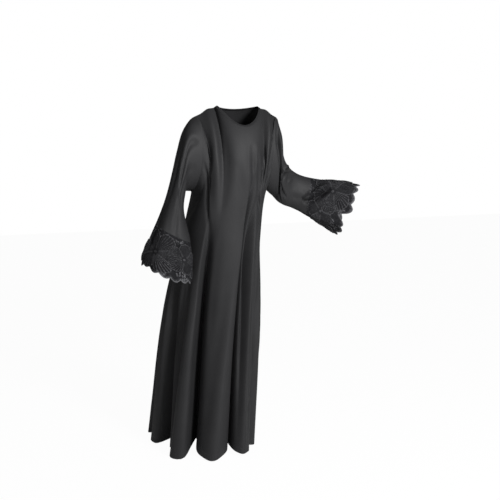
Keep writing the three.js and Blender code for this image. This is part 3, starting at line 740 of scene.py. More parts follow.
def sleeve_base(sleeve, angle, position):
    """Sleeve without folds: cubics along it through the armhole and every ring."""
    angle, position = np.broadcast_arrays(np.asarray(angle, float), np.asarray(position, float))
    last = len(sleeve["rings"]["ux"])
    i = np.clip(np.floor(position).astype(int), 0, last - 1)

    def at(k):
        k = np.clip(k, 0, last)
        ring = ring_points(sleeve["rings"], np.maximum(k - 1, 0), angle)
        return np.where((k == 0)[..., None], armhole_points(sleeve["side"], angle), ring)

    before, start, end, after = (at(i + k) for k in (-1, 0, 1, 2))
    start_slope = (end - before) / np.where(i == 0, 1, 2)[..., None]
    sideways = SHOULDER_OUT if sleeve["side"] == "left" else -SHOULDER_OUT
    at_shoulder = bell(turn_between(0, angle) / SHOULDER_REACH) * (i == 0)
    start_slope = start_slope + at_shoulder[..., None] * (sideways, 0, SHOULDER_UP)
    end_slope = (after - start) / np.where(i == last - 1, 1, 2)[..., None]
    return hermite(start, start_slope, end, end_slope, (position - i)[..., None])


print("The tip of the raised sleeve:", sleeve_base(LEFT_SLEEVE, 0, len(LEFT_RINGS["ux"])).round(3))

# %% [markdown]
# ## Sleeve with its creases
# The long soft fold of the bell and the listed creases move the surface along its own normal.

# %% Sleeve with its creases
TURN_STEP, PLACE_STEP, CREASE_FADE = 2, 0.1, 0.6


def sleeve_point(sleeve, angle, position):
    """Point of a sleeve with its long fold and creases, and the way out of the cloth there."""
    fold = sleeve["fold"]
    point = sleeve_base(sleeve, angle, position)
    u = np.clip((position - fold["start"]) / (fold["end"] - fold["start"]), 0, 1)
    centre = fold["angle"] + (fold["to_angle"] - fold["angle"]) * u
    depth = fold["depth"] * u * bell(turn_between(centre, angle) / fold["width"])
    degree = sleeve["girth"] / 360
    creases = crease_depth(sleeve["creases"], turn_between(0, angle), position, degree, RING_STEP)
    ahead, behind = (sleeve_base(sleeve, angle + turn, position) for turn in (TURN_STEP, -TURN_STEP))
    low = np.maximum(position - PLACE_STEP, 0)
    onward = sleeve_base(sleeve, angle, low + PLACE_STEP) - sleeve_base(sleeve, angle, low)
    outward = unit(np.cross(ahead - behind, onward)) * (1 if sleeve["flip"] else -1)
    depth = depth - creases * smoothstep(position, 0, CREASE_FADE)
    return point + outward * depth[..., None], outward


moved = sleeve_point(LEFT_SLEEVE, 82.0, 7.45)[0] - sleeve_base(LEFT_SLEEVE, 82.0, 7.45)
print(f"The crease across the raised cuff presses in {np.linalg.norm(moved):.3f} m")

# %% [markdown]
# ## Thin shells
# Cloth has two sides and an edge. A Solidify modifier could add them, but building both faces from the grid
# keeps the faces outwards, closes the rims and gives the flat sizes of the cloth as a UV map.

# %% Shells
def grid_normals(points, closed, flip):
    """Way out of a grid at each point, across its neighbours."""
    if closed:
        round_way = np.roll(points, -1, 1) - np.roll(points, 1, 1)
    else:
        round_way = np.gradient(points, axis=1)
    return unit(np.cross(round_way, np.gradient(points, axis=0))) * (-1 if flip else 1)


def rim_quads(rows, columns):
    """Grid places of the quads along a rim: along it on one side of the cloth and back on the other."""
    run = np.stack(np.broadcast_arrays(rows, columns), -1)
    return np.stack([run[:-1], run[1:], run[1:], run[:-1]], 1)


def shell_quads(rows, columns, closed):
    """Corners of a shell's quads, as vertex numbers and as grid places: both sides and the rims between."""
    across = np.arange(columns + 1 if closed else columns)
    up = np.arange(rows)
    i, j = (places.ravel() for places in np.meshgrid(up[:-1], across[:-1], indexing="ij"))
    side = np.stack([np.stack([i + a, j + b], -1) for a, b in ((0, 0), (0, 1), (1, 1), (1, 0))], 1)
    inner = rows * columns
    inner_first, outer_first = np.array([inner, inner, 0, 0]), np.array([0, 0, inner, inner])
    parts = [
        (side, 0),
        (side[:, ::-1], inner),
        (rim_quads(0, across), inner_first),
        (rim_quads(rows - 1, across), outer_first),
    ]
    if not closed:
        parts.append((rim_quads(up, 0), outer_first))
        parts.append((rim_quads(up, columns - 1), inner_first))
    numbers = [places[..., 0] * columns + places[..., 1] % columns + layer for places, layer in parts]
    return np.concatenate(numbers), np.concatenate([places for places, _ in parts])


print(f"A sheet of 3 by 3 points becomes a closed shell of {len(shell_quads(3, 3, False)[0])} quads")

# %% [markdown]
# ## From grid to mesh
# The outer side of the cloth lies on the grid and the inner side behind it. Values that a material needs,
# such as the distance to the edge of the lace, are kept on the points as attributes. Smooth shading with
# sharp rims makes the cloth look soft and its edge crisp.

# %% Shell mesh
THICKNESS = 0.0010
SHARP_ABOVE = math.radians(70)


def shell(name, points, uv, thickness=THICKNESS, closed=False, flip=False, fields=None, lift=0.0):
    """Closed thin shell: the outer side at a lift above the points, and the inner side behind them."""
    rows, columns = points.shape[:2]
    normals = grid_normals(points, closed, flip)
    vertices = np.concatenate([points + normals * lift, points - normals * thickness]).reshape(-1, 3)
    faces, places = shell_quads(rows, columns, closed)
    if flip:
        faces, places = faces[:, ::-1], places[:, ::-1]
    mesh = bpy.data.meshes.new(name)
    mesh.from_pydata(vertices.tolist(), [], faces.tolist())
    spots = places.reshape(-1, 2)
    layer = mesh.uv_layers.new(name="UVMap")
    layer.data.foreach_set("uv", uv[spots[:, 0], spots[:, 1]].astype(np.float32).ravel())
    for field, values in (fields or {}).items():
        kept = mesh.attributes.new(field, "FLOAT", "POINT")
        flat = np.broadcast_to(values, (rows, columns)).astype(np.float32).ravel()
        kept.data.foreach_set("value", np.concatenate([flat, flat]))
    mesh.shade_smooth()
    mesh.set_sharp_from_angle(angle=SHARP_ABOVE)
    obj = bpy.data.objects.new(name, mesh)
    bpy.context.scene.collection.objects.link(obj)
    print(f"{name}: {len(faces)} quads")
    return obj

# %% [markdown]
# ## Flat sizes of the cut
# The lengths along the rows and columns of a grid are the sizes that the cloth has when it lies flat. They
# serve the weave, the stitches and the cutting list alike.

# %% Flat sizes
def looped(points, closed):
    """A grid with its first column once more at the end, where it runs round."""
    return np.concatenate([points, points[:, :1]], 1) if closed else points


def flat_sizes(points, closed):
    """UV in metres: lengths round each row from its first column and up each column, as a mean."""
    steps = np.linalg.norm(np.diff(looped(points, closed), axis=1), axis=-1)
    round_way = np.concatenate([np.zeros((len(points), 1)), np.cumsum(steps, 1)], 1)
    rise = np.linalg.norm(np.diff(points, axis=0), axis=-1).mean(1)
    up = np.concatenate([[0], np.cumsum(rise)])
    return stack(round_way, up[:, None])


def cut_size(points, closed):
    """Width and length of the flat cut: its longest row and its longest column."""
    width = np.linalg.norm(np.diff(looped(points, closed), axis=1), axis=-1).sum(1).max()
    length = np.linalg.norm(np.diff(points, axis=0), axis=-1).sum(0).max()
    return float(width), float(length)


def sheet_area(points, closed):
    """Area of a grid's cloth in square metres: the cross products of the steps across and up, added."""
    loop = looped(points, closed)
    across = np.diff(loop, axis=1)[:-1]
    up = np.diff(loop, axis=0)[:, :-1]
    return float(np.linalg.norm(np.cross(across, up), axis=-1).sum())


trial = stack(np.linspace(0, 0.5, 6)[None, :], np.linspace(0, 0.4, 5)[:, None], 0)
print(f"A flat sheet of 0.5 by 0.4 m has {sheet_area(trial, False):.3f} square metres")

# %% [markdown]
# ## Shader arithmetic
# A pattern is easier to read as a formula than as a web of nodes. This class wraps a node's output, and
# adds a Math node for each operation that is done with it.

# %% Shader arithmetic
class Field:
    """A number that varies over a surface: a node's output with ordinary arithmetic."""

    def __init__(self, tree, socket):
        self.tree = tree
        self.socket = socket

    def math(self, operation, *others):
        """Joins this and the others with a Math node."""
        made = self.tree.nodes.new("ShaderNodeMath")
        made.operation = operation
        for slot, value in zip(made.inputs, (self, *others)):
            if isinstance(value, Field):
                self.tree.links.new(value.socket, slot)
            else:
                slot.default_value = value
        return Field(self.tree, made.outputs[0])

    def __add__(self, other):
        return self.math("ADD", other)

    def __sub__(self, other):
        return self.math("SUBTRACT", other)

    def __mul__(self, other):
        return self.math("MULTIPLY", other)

    def __neg__(self):
        return self * -1

    def __rsub__(self, other):
        return -self + other

    __radd__ = __add__
    __rmul__ = __mul__

    def clamp(self):
        """Held between 0 and 1."""
        return self.math("MAXIMUM", 0.0).math("MINIMUM", 1.0)

    def ramp(self, low, high):
        """0 at low and 1 at high, held there beyond."""
        return ((self - low) * (1 / (high - low))).clamp()


print("A field can", ", ".join(name for name in vars(Field) if not name.startswith("_")))

# %% [markdown]
# ## One way to add a node
# All other nodes come from one function, which takes the kind of the node, its settings and its inputs. An
# input is either a plain value or a field that is linked to it.

# %% Node helpers
def set_inputs(tree, node, inputs):
    """Joins a node's inputs to fields, or sets their values."""
    for name, value in inputs.items():
        if isinstance(value, Field):
            tree.links.new(value.socket, node.inputs[name])
        else:
            node.inputs[name].default_value = value


def add_node(tree, kind, inputs=None, **settings):
    """Adds a node with its settings, and joins or sets its inputs by name."""
    made = tree.nodes.new(kind)
    for name, value in settings.items():
        setattr(made, name, value)
    set_inputs(tree, made, inputs or {})
    return made


def new_material(name, roughness, specular=0.5):
    """Material with a Principled shader; gives the material, its tree and the shader."""
    material = bpy.data.materials.new(name)
    material.use_nodes = True
    tree = material.node_tree
    shader = tree.nodes["Principled BSDF"]
    set_inputs(tree, shader, {"Roughness": roughness, "Specular IOR Level": specular})
    return material, tree, shader


print(f"{len(bpy.data.materials)} materials before the first cloth")

# %% [markdown]
# ## Patterns
# Most patterns start from the flat sizes of their piece, so they lie on the cloth as on the bolt. A box
# projection would be quicker to set up, but it would slide across the folds.

# %% Patterns
MIX_LOW, MIX_HIGH, MIX_RESULT = 6, 7, 2


def place_field(tree, kind="UV"):
    """Where a point lies, as a vector: its flat sizes in metres, or its place in the scene."""
    return Field(tree, add_node(tree, "ShaderNodeTexCoord").outputs[kind])


def split(tree, vector):
    """x, y and z of a vector."""
    made = add_node(tree, "ShaderNodeSeparateXYZ", {"Vector": vector})
    return [Field(tree, made.outputs[k]) for k in range(3)]


def noise(tree, vector, scale, detail=2.0):
    """Noise from 0 to 1 at a scale in cycles a metre."""
    inputs = {"Vector": vector, "Scale": scale, "Detail": detail}
    return Field(tree, add_node(tree, "ShaderNodeTexNoise", inputs).outputs["Fac"])


def attribute(tree, name):
    """A value kept on the piece's points."""
    return Field(tree, add_node(tree, "ShaderNodeAttribute", attribute_name=name).outputs["Fac"])


def mix_colour(tree, share, low, high):
    """Colour between two, by a share."""
    inputs = {"Factor": share, MIX_LOW: low, MIX_HIGH: high}
    return Field(tree, add_node(tree, "ShaderNodeMix", inputs, data_type="RGBA").outputs[MIX_RESULT])


def bump(tree, height, distance, strength, **normal):
    """Normal bent by a height field, at a distance in metres for each unit."""
    inputs = {"Height": height, "Distance": distance, "Strength": strength, **normal}
    return Field(tree, add_node(tree, "ShaderNodeBump", inputs).outputs["Normal"])


print(f"A mixed colour goes into sockets {MIX_LOW} and {MIX_HIGH} and comes out of {MIX_RESULT}")

# %% [markdown]
# ## Crepe
# Crepe is woven from twisted yarn, so it has a pebbled face and a dull, soft sheen. It could be a photo
# texture, but noise at the scale of the yarn never repeats. Rows of stitches hold the hem, the armhole and
# the neck binding, and pucker the cloth a little. They lie at other heights on each, so there are three
# crepes.

# %% Crepe
CREPE_DARK, CREPE_LIGHT = (0.0165, 0.0165, 0.0175, 1), (0.0225, 0.0225, 0.0235, 1)
STITCH_COLOUR = (0.05, 0.05, 0.052, 1)
STITCH_LENGTH, STITCH_WIDTH, PUCKER_WIDTH = 0.0032, 0.0006, 0.004
YARN_SCALE, PUCKER_SCALE, DYE_SCALE = 900.0, 140.0, 9.0
WEAVE_BUMP, DYE_BUMP, SEAM_BUMP = (0.0004, 0.5), (0.004, 0.25), (0.0007, 0.8)


def stitches(along, up, height):
    """A row of lockstitches at a height up the piece: dashes of thread on a narrow line."""
    line = 1 - (up - height).math("ABSOLUTE").ramp(STITCH_WIDTH * 0.4, STITCH_WIDTH)
    dash = (along * (2 * math.pi / STITCH_LENGTH)).math("SINE").ramp(-0.6, 0.2)
    return line * dash


def crepe(name, rows):
    """Black crepe: pebbled weave, a slightly uneven dye, and rows of stitches with their puckers."""
    material, tree, shader = new_material(name, roughness=0.58, specular=0.15)
    place = place_field(tree)
    along, up, _ = split(tree, place)
    weave = noise(tree, place, YARN_SCALE, 1.0)
    cloudy = noise(tree, place, DYE_SCALE)
    thread = sum(stitches(along, up, height) for height in rows)
    pucker = sum(1 - (up - height).math("ABSOLUTE").ramp(0.0, PUCKER_WIDTH) for height in rows)
    pucker = pucker * (0.6 + 0.4 * noise(tree, place, PUCKER_SCALE, 1.0))
    colour = mix_colour(tree, cloudy, CREPE_DARK, CREPE_LIGHT)
    colour = mix_colour(tree, thread * 0.5, colour, STITCH_COLOUR)
    normal = bump(tree, weave, *WEAVE_BUMP)
    normal = bump(tree, cloudy, *DYE_BUMP, Normal=normal)
    normal = bump(tree, thread * 0.5 - pucker, *SEAM_BUMP, Normal=normal)
    set_inputs(tree, shader, {"Base Color": colour, "Normal": normal})
    return material


PANEL_CREPE = crepe("crepe_panel", (0.022,))
SLEEVE_CREPE = crepe("crepe_sleeve", (0.002,))
BINDING_CREPE = crepe("crepe_binding", (0.0015, 0.0105))
print(f"{len(BINDING_CREPE.node_tree.nodes)} nodes in the crepe with two rows of stitches")

# %% [markdown]
# ## Lace
# The ground of each cuff is fine black net. Clusters of small embroidered rings lie between the flowers,
# and a cord runs along the scalloped edge. Voronoi cells make the net and the rings.

# %% Lace
NET_SCALE, BUD_SCALE, CLUSTER_SCALE, BAR_SCALE = 420.0, 95.0, 22.0, 160.0
# The lighter grey of the thread is painted sheen: the thread itself is black.
NET_DARK, THREAD_PAINTED_SHEEN = (0.006, 0.006, 0.007, 1), (0.085, 0.085, 0.090, 1)
BUD_RADIUS, BUD_WIDTH = 0.34, 0.16
CORD_PLACE, CORD_WIDTH = 0.003, 0.003
BARS_FROM, BARS_TO = 0.010, 0.014


def ring_buds(tree, place):
    """Small embroidered rings scattered over the cloth: 1 on the thread of a ring and 0 off it."""
    cells = add_node(tree, "ShaderNodeTexVoronoi", {"Vector": place, "Scale": BUD_SCALE, "Randomness": 0.8})
    from_thread = (Field(tree, cells.outputs["Distance"]) - BUD_RADIUS).math("ABSOLUTE")
    return 1 - from_thread.ramp(BUD_WIDTH * 0.4, BUD_WIDTH)


def lace():
    """Black net with small rings in clusters and a corded edge; the thread's lighter grey is painted sheen.
    """
    material, tree, shader = new_material("black_lace", roughness=0.85, specular=0.08)
    place = place_field(tree)
    inputs = {"Vector": place, "Scale": NET_SCALE}
    net = add_node(tree, "ShaderNodeTexVoronoi", inputs, feature="DISTANCE_TO_EDGE")
    mesh = 1 - Field(tree, net.outputs["Distance"]).ramp(0.04, 0.16)
    clusters = noise(tree, place, CLUSTER_SCALE, 1.0).ramp(0.44, 0.54)
    buds = ring_buds(tree, place) * clusters
    rim = attribute(tree, "rim")
    cord = 1 - (rim - CORD_PLACE).math("ABSOLUTE").ramp(CORD_WIDTH / 2, CORD_WIDTH)
    bars = noise(tree, place, BAR_SCALE, 1.0).ramp(0.35, 0.6) * (1 - rim.ramp(BARS_FROM, BARS_TO))
    thread = (buds * 0.8 + cord * 0.9 + bars * 0.4 + mesh * 0.12).clamp()
    # Painted sheen: where thread lies, the black lace is coloured a lighter grey.
    colour = mix_colour(tree, thread, NET_DARK, THREAD_PAINTED_SHEEN)
    set_inputs(tree, shader, {"Base Color": colour, "Normal": bump(tree, thread, 0.0012, 0.9)})
    return material


LACE = lace()
print(f"Meshes of about {1000 / NET_SCALE:.1f} mm, rings about {1000 / BUD_SCALE:.1f} mm apart")

# %% [markdown]
# ## Embroidered petals
# Each petal is a fan of thread that runs out from the middle of its flower. The fan is a sine round the
# flower, made uneven by noise, between a corded border and the folds between petals.

# %% Petals
PETAL_VEINS = 48
PETAL_DARK = (0.004, 0.004, 0.005, 1)
PATCH_SCALE, SPECKLE_SCALE, UNEVEN_SCALE = 70.0, 520.0, 26.0


def petal_thread(tree):
    """Share of thread: the fan, the border, the folds and the knot, all broken up by speckles."""
    place = place_field(tree)
    turn, _, _ = split(tree, place)
    rim, gap, radius, tone = (attribute(tree, name) for name in ("rim", "gap", "radius", "tone"))
    uneven = noise(tree, place, UNEVEN_SCALE)
    fan = (turn * (2 * math.pi * PETAL_VEINS) + uneven * 1.2).math("SINE").ramp(0.0, 0.9)
    fan = fan * radius.ramp(0.006, 0.020) * (0.35 + tone * 0.65) * uneven.ramp(0.36, 0.60)
    # Noise patches that weaken the painted sheen of the border and the folds.
    patchy = noise(tree, place, PATCH_SCALE, 1.0).ramp(0.30, 0.55) * 0.7 + 0.3
    border = (1 - (rim - 0.0020).math("ABSOLUTE").ramp(0.0008, 0.0022)) * patchy
    fold = (1 - (gap - 0.0008).math("ABSOLUTE").ramp(0.0006, 0.0020)) * radius.ramp(0.010, 0.016) * patchy
    knot = 1 - radius.ramp(0.004, 0.006)
    speckle = noise(tree, place_field(tree, "Object"), SPECKLE_SCALE).ramp(0.45, 0.68)
    lines = fan * 0.95 + border * 0.75 + fold * 0.45 + knot * 0.8
    return (lines * (0.45 + 0.55 * speckle) + speckle * 0.10).clamp()


def petals():
    """Petals of close radial stitches on black: thread stands up, and its lighter grey is painted sheen."""
    material, tree, shader = new_material("lace_petals", roughness=0.75, specular=0.12)
    thread = petal_thread(tree)
    # Painted sheen: where thread lies, the black petal is coloured a lighter grey.
    colour = mix_colour(tree, thread, PETAL_DARK, THREAD_PAINTED_SHEEN)
    set_inputs(tree, shader, {"Base Color": colour, "Normal": bump(tree, thread, 0.0010, 0.8)})
    return material


PETALS = petals()
print(f"{PETAL_VEINS} rays of thread round a flower, from {len(PETALS.node_tree.nodes)} nodes")

# %% [markdown]
# ## Front and back panel
# The panels meet at the side seams, at 90 degrees to both sides. Columns are placed closer together
# where the folds are, so that the mesh stays small.

# %% Panels
HEM_ROWS, YOKE_ROWS = 96, 70
ARMHOLE_COLUMNS, SHOULDER_COLUMNS, NECK_COLUMNS = 33, 13, 110
CROWDING, CROWD_WIDTH, FINE_ANGLES = 1.2, 8, 801


def crowded(start, end, count):
    """Angles from start to end, closer together at the folds."""
    fine = np.linspace(start, end, FINE_ANGLES)
    offsets = turn_between(FOLDS["hem"][:, None], fine[None, :])
    total = np.cumsum(1 + CROWDING * bell(offsets / CROWD_WIDTH).max(0))
    return np.interp(np.linspace(total[0], total[-1], count + 1), total, fine)


def panel(name, middle):
    """Front or back panel: columns from one side seam to the other."""
    parts = [
        np.linspace(-90, -SHOULDER_ANGLE, ARMHOLE_COLUMNS)[:-1] + middle,
        np.linspace(-SHOULDER_ANGLE, -NECK_ANGLE, SHOULDER_COLUMNS)[:-1] + middle,
        crowded(middle - NECK_ANGLE, middle + NECK_ANGLE, NECK_COLUMNS),
        np.linspace(NECK_ANGLE, SHOULDER_ANGLE, SHOULDER_COLUMNS)[1:] + middle,
        np.linspace(SHOULDER_ANGLE, 90, ARMHOLE_COLUMNS)[1:] + middle,
    ]
    columns = np.concatenate(parts)
    levels = np.concatenate([np.linspace(0, 1, HEM_ROWS)[:-1], np.linspace(1, 2, YOKE_ROWS)])
    points = body_point(columns[None, :], levels[:, None])
    obj = shell(name, points, flat_sizes(points, False))
    obj.data.materials.append(PANEL_CREPE)
    return obj, points


made = {"body_front": panel("cloth_front", 0), "body_back": panel("cloth_back", 180)}

# %% [markdown]
# ## Sleeves and cuffs
# A sleeve and its lace border are two pieces of the same surface, sewn together at a seam. The border ends
# in scallops, which are the peaks of a sine with a softer wave of longer and shorter places.

# %% Sleeve and cuff shapes
SCALLOPS, SCALLOP_DEPTH = 14, 0.013


def edge_share(sleeve, angle):
    """Share of the cuff's length that its edge reaches at an angle: scallops that hang unevenly."""
    edge = sleeve["edge"]
    turns = turn_between(edge["around"][:, None], np.ravel(angle)[None, :]) / edge["width"][:, None]
    hang = (edge["reach"][:, None] * bell(turns)).sum(0).reshape(np.shape(angle))
    wave = np.abs(np.sin(np.radians(SCALLOPS / 2 * angle)))
    return 1 + (hang - SCALLOP_DEPTH * (1 - wave)) / sleeve["cuff"]


def sleeve_piece(name, sleeve, start, end, rows, columns, scalloped=False):
    """Part of a sleeve between two places along it, as a ring of cloth."""
    angles = 180 - 360 * np.arange(columns) / columns
    shares = np.linspace(0, 1, rows)[:, None]
    reach = edge_share(sleeve, angles) if scalloped else np.ones(columns)
    positions = start + (end - start) * shares * reach[None, :]
    points, _ = sleeve_point(sleeve, angles[None, :], positions)
    rim = (1 - shares) * reach[None, :] * sleeve["cuff"]
    fields = {"rim": rim} if scalloped else None
    obj = shell(name, points, flat_sizes(points, True), closed=True, flip=sleeve["flip"], fields=fields)
    return obj, points


for sleeve in (LEFT_SLEEVE, RIGHT_SLEEVE):
    edge_lengths = edge_share(sleeve, np.arange(360.0)) * sleeve["cuff"]
    print(f"The {sleeve['side']} lace hangs {edge_lengths.min():.3f} to {edge_lengths.max():.3f} m down")

# %% [markdown]
# ## Flowers
# A flower lies on the lace as a thin disc that follows its folds. Its rim is rounded for every petal and
# jagged like cut embroidery. Petals are raised in the middle, with cords along their edges.

# %% Petal outline and relief
NOTCH, ROUNDING, JAG, FINE_JAG = 0.64, 0.6, 0.018, 0.010
LIFT, DOME, VEIN, CORD = 0.0012, 0.0030, 0.0006, 0.0011
RIM_CORD, GAP_CORD, CORD_SPREAD = 0.0022, 0.0015, 0.0020


def petal_reach(flower, direction):
    """Radius of a flower in a direction as a share of its largest: rounded petals, jagged at the edge."""
    wave = np.abs(np.cos(flower["petals"] / 2 * direction + np.radians(flower["turn"])))
    jags = JAG * np.abs(np.sin(flower["petals"] * 4.5 * direction)) + FINE_JAG * np.sin(23 * direction)
    return NOTCH + (1 - NOTCH) * wave**ROUNDING + jags


def petal_relief(direction, share, crown, fields):
    """Height above the lace: a dome on each petal, faint veins, and cords along rim and gaps."""
    radius = fields["radius"]
    dome = np.sin(np.pi * share**1.4) * crown**ROUNDING
    vein = np.sin(direction * PETAL_VEINS)[None, :] * smoothstep(radius, 0.012, 0.030)
    rim_cord = bell((fields["rim"] - RIM_CORD) / CORD_SPREAD)
    gap_cord = bell((fields["gap"] - GAP_CORD) / CORD_SPREAD) * smoothstep(radius, 0.010, 0.020)
    return LIFT + DOME * dome + VEIN * vein + CORD * (rim_cord + gap_cord)


print(f"The middle of a petal stands {1000 * (LIFT + DOME):.1f} mm above the lace")

# %% [markdown]
# ## Flowers as pieces
# A flower is a grid of rings and spokes, laid on the cuff by its angle and its place along the lace. The
# distances that the thread needs are kept with it. It could be drawn as an image on the lace, but real
# flowers are sewn on and cast small shadows.

# %% Flower pieces
SPOKES, FLOWER_RINGS = 288, 24
FLOWER_THICKNESS = 0.0007
PAST_EDGE = 0.1


def cuff_point(sleeve, flower, across, down):
    """Points of the cuff at distances from a flower's middle, and the way out of the cloth there."""
    last = len(sleeve["rings"]["ux"])
    angle = flower["around"] + across / sleeve["girth"] * 360
    along = flower["along"] + down / sleeve["cuff"]
    place = sleeve["seam"] + (last - sleeve["seam"]) * along
    return sleeve_point(sleeve, angle, np.minimum(place, last + PAST_EDGE))


def flower_piece(name, sleeve, flower, number):
    """Embroidered flower on a cuff: petals that follow the cloth just above it, edged with cord."""
    direction = 2 * np.pi * np.arange(SPOKES) / SPOKES
    share = np.concatenate([[0.02], np.linspace(0.08, 1, FLOWER_RINGS - 1)])[:, None]
    reach = flower["radius"] * petal_reach(flower, direction)[None, :]
    radius = reach * share
    points, outward = cuff_point(sleeve, flower, radius * np.cos(direction), radius * np.sin(direction))
    turn = flower["petals"] / 2 * direction + np.radians(flower["turn"])
    crown = np.abs(np.cos(turn))[None, :]
    gap = 2 * crown * radius / flower["petals"]
    tone = 0.5 + 0.5 * np.sin(2.4 * np.floor(turn / np.pi + 0.5) + 1.7 * number)
    fields = {"rim": reach - radius, "gap": gap, "radius": radius, "tone": tone}
    points = points + outward * petal_relief(direction, share, crown, fields)[..., None]
    uv = stack((np.arange(SPOKES + 1) / SPOKES)[None, :], share)
    obj = shell(name, points, uv, FLOWER_THICKNESS, closed=True, flip=not sleeve["flip"], fields=fields)
    obj.data.materials.append(PETALS)
    return obj


print(f"{SPOKES} spokes and {FLOWER_RINGS} rings make a flower")

# %% [markdown]
# ## Making sleeves, cuffs and flowers
# The pieces are made in the order in which they would be sewn.

# %% Sewing the pieces
SLEEVE_GRID, CUFF_GRID = (110, 150), (56, 280)

on_cuff = {"cuff_left": [], "cuff_right": []}
for side, sleeve in (("left", LEFT_SLEEVE), ("right", RIGHT_SLEEVE)):
    seam, last = sleeve["seam"], len(sleeve["rings"]["ux"])
    cloth = sleeve_piece(f"cloth_sleeve_{side}", sleeve, 0, seam, *SLEEVE_GRID)
    border = sleeve_piece(f"lace_cuff_{side}", sleeve, seam, last, *CUFF_GRID, scalloped=True)
    cloth[0].data.materials.append(SLEEVE_CREPE)
    border[0].data.materials.append(LACE)
    made[f"sleeve_{side}"], made[f"cuff_{side}"] = cloth, border
    for k in range(len(sleeve["flowers"]["around"])):
        flower = {name: values[k] for name, values in sleeve["flowers"].items()}
        obj = flower_piece(f"flower_{side}_{k + 1}", sleeve, flower, k)
        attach(obj, "root")
        on_cuff[f"cuff_{side}"].append(obj)

# %% [markdown]
# ## Neck binding
# A narrow band of crepe finishes the neckline. It follows the top edge of the panels and leans inwards.

# %% Neck binding
BINDING_WIDTH, BINDING_ROWS, BINDING_LIFT = 0.012, 5, 0.0006
FRONT_POINTS, BACK_POINTS = 61, 51
LEAN_IN, LEAN_UP = 0.9, 0.6

neck_front = np.linspace(-NECK_ANGLE, NECK_ANGLE, FRONT_POINTS)
neck_back = np.linspace(180 - NECK_ANGLE, 180 + NECK_ANGLE, BACK_POINTS)[1:-1]
edge_points = top_edge(np.concatenate([neck_front, neck_back]))
centre_way = unit((np.array([0, NECK_CENTRE_Y, 0]) - edge_points) * (1, 1, 0))
rise_way = unit(centre_way * LEAN_IN + (0, 0, LEAN_UP))
binding_rows = np.linspace(0, BINDING_WIDTH, BINDING_ROWS)[:, None, None]
binding_points = edge_points[None] + rise_way[None] * binding_rows
binding_uv = flat_sizes(binding_points, True)
binding = shell("cloth_binding", binding_points, binding_uv, closed=True, lift=BINDING_LIFT)
binding.data.materials.append(BINDING_CREPE)
made["neck_binding"] = (binding, binding_points)

# %% [markdown]
# ## Cutting list
# Each piece takes the place of the solid of the same name. The size and the area of its flat cut are
# printed.

# %% Handing the pieces over
for node, (obj, points) in made.items():
    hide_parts(node)
    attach(obj, "root")
    closed = not node.startswith("body")
    width, length = cut_size(points, closed)
    area = sheet_area(points, closed)
    print(f"{node}: cut {width:.3f} m wide and {length:.3f} m long, {area:.3f} square metres")

# %% [markdown]
# ## World
# The backdrop is white to the camera and dim to the cloth, because black crepe mirrors everything and would
# turn grey in a white room. A light path node tells the camera's rays from all others.

# %% World
WHITE = (1, 1, 1, 1)
DIM_STRENGTH = 0.12


def seen_by_camera(tree, share, seen, unseen, output):
    """Output with one shader for the camera's rays, by a share, and another for all other rays."""
    ray = Field(tree, add_node(tree, "ShaderNodeLightPath").outputs["Is Camera Ray"])
    inputs = {0: ray * share, 1: Field(tree, unseen.outputs[0]), 2: Field(tree, seen.outputs[0])}
    both = add_node(tree, "ShaderNodeMixShader", inputs)
    set_inputs(tree, output, {"Surface": Field(tree, both.outputs[0])})


world = bpy.data.worlds.new("studio")
bpy.context.scene.world = world
world.use_nodes = True
sky = world.node_tree
bright = sky.nodes["Background"]
set_inputs(sky, bright, {"Color": WHITE, "Strength": 1.0})
dim = add_node(sky, "ShaderNodeBackground", {"Color": WHITE, "Strength": DIM_STRENGTH})
seen_by_camera(sky, 1.0, bright, dim, sky.nodes["World Output"])
bpy.context.scene.view_settings.view_transform = "Standard"
print(f"The cloth sees a world of strength {DIM_STRENGTH}")

# %% [markdown]
# ## Floor
# The floor is treated in the same way. It keeps a trace of its real shading, so that the hem has a shadow.

# %% Floor
FLOOR_HEIGHT, FLOOR_REACH = -1.402, 8
FLOOR_COLOUR, GLOW_SHARE = (0.9, 0.9, 0.9, 1), 0.97

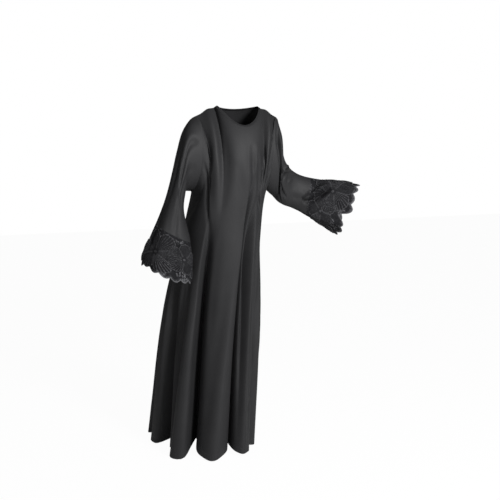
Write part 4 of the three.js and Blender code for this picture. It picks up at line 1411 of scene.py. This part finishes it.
corners = [(x * FLOOR_REACH, y * FLOOR_REACH, FLOOR_HEIGHT) for x, y in ((-1, -1), (1, -1), (1, 1), (-1, 1))]
floor_mesh = bpy.data.meshes.new("floor")
floor_mesh.from_pydata(corners, [], [(0, 1, 2, 3)])
floor = bpy.data.objects.new("floor", floor_mesh)
bpy.context.scene.collection.objects.link(floor)
floor_look, floor_tree, floor_shader = new_material("pale_floor", roughness=0.9)
set_inputs(floor_tree, floor_shader, {"Base Color": FLOOR_COLOUR})
glow = add_node(floor_tree, "ShaderNodeEmission", {"Color": WHITE, "Strength": 1.0})
seen_by_camera(floor_tree, GLOW_SHARE, glow, floor_shader, floor_tree.nodes["Material Output"])
floor.data.materials.append(floor_look)
print(f"The floor lies {-LENGTH - FLOOR_HEIGHT:.3f} m under the hem")

# %% [markdown]
# ## Lights
# One large soft light in front gives the sheen, and a weak one from the right keeps the shade open.

# %% Lights
LIGHTS = {
    "key": {"place": (0.8, -3.1, 0.8), "target": (-0.05, 0, -0.8), "size": 0.8, "power": 172},
    "fill": {"place": (-2.6, -2.2, 0.4), "target": (-0.1, 0, -0.7), "size": 2.0, "power": 14},
}


def area_light(name, place, target, size, power):
    """Square soft light at a place, facing a target."""
    light = bpy.data.lights.new(name, "AREA")
    light.energy = power
    light.size = size
    obj = bpy.data.objects.new(name, light)
    obj.location = place
    obj.rotation_euler = (Vector(target) - Vector(place)).to_track_quat("-Z", "Y").to_euler()
    bpy.context.scene.collection.objects.link(obj)
    print(f"{name} light: {power} W, {size} m wide")


for name, light in LIGHTS.items():
    area_light(name, **light)

# %% [markdown]
# ## Camera
# The camera stands about three metres away at chest height, a little round to the right, and looks down. Its
# place is given by the way it looks, so that the robe stays in the frame when the heading is changed.

# %% Camera
HEADING, PITCH = math.radians(-22), math.radians(8.08)
CAMERA_DISTANCE, CAMERA_ASIDE, CAMERA_HEIGHT = 3.100, 0.048, -0.126
LENS_MM, SENSOR_MM = 55.8, 36

camera_data = bpy.data.cameras.new("camera")
camera_data.lens = LENS_MM
camera_data.sensor_width = SENSOR_MM
camera = bpy.data.objects.new("camera", camera_data)
aside = Vector((math.cos(HEADING), math.sin(HEADING), 0))
ahead = Vector((-math.sin(HEADING), math.cos(HEADING), 0))
camera.location = aside * CAMERA_ASIDE - ahead * CAMERA_DISTANCE + Vector((0, 0, CAMERA_HEIGHT))
look = ahead * math.cos(PITCH) - Vector((0, 0, math.sin(PITCH)))
camera.rotation_euler = look.to_track_quat("-Z", "Y").to_euler()
bpy.context.scene.collection.objects.link(camera)
bpy.context.scene.camera = camera
print("The camera stands at", [round(value, 3) for value in camera.location])
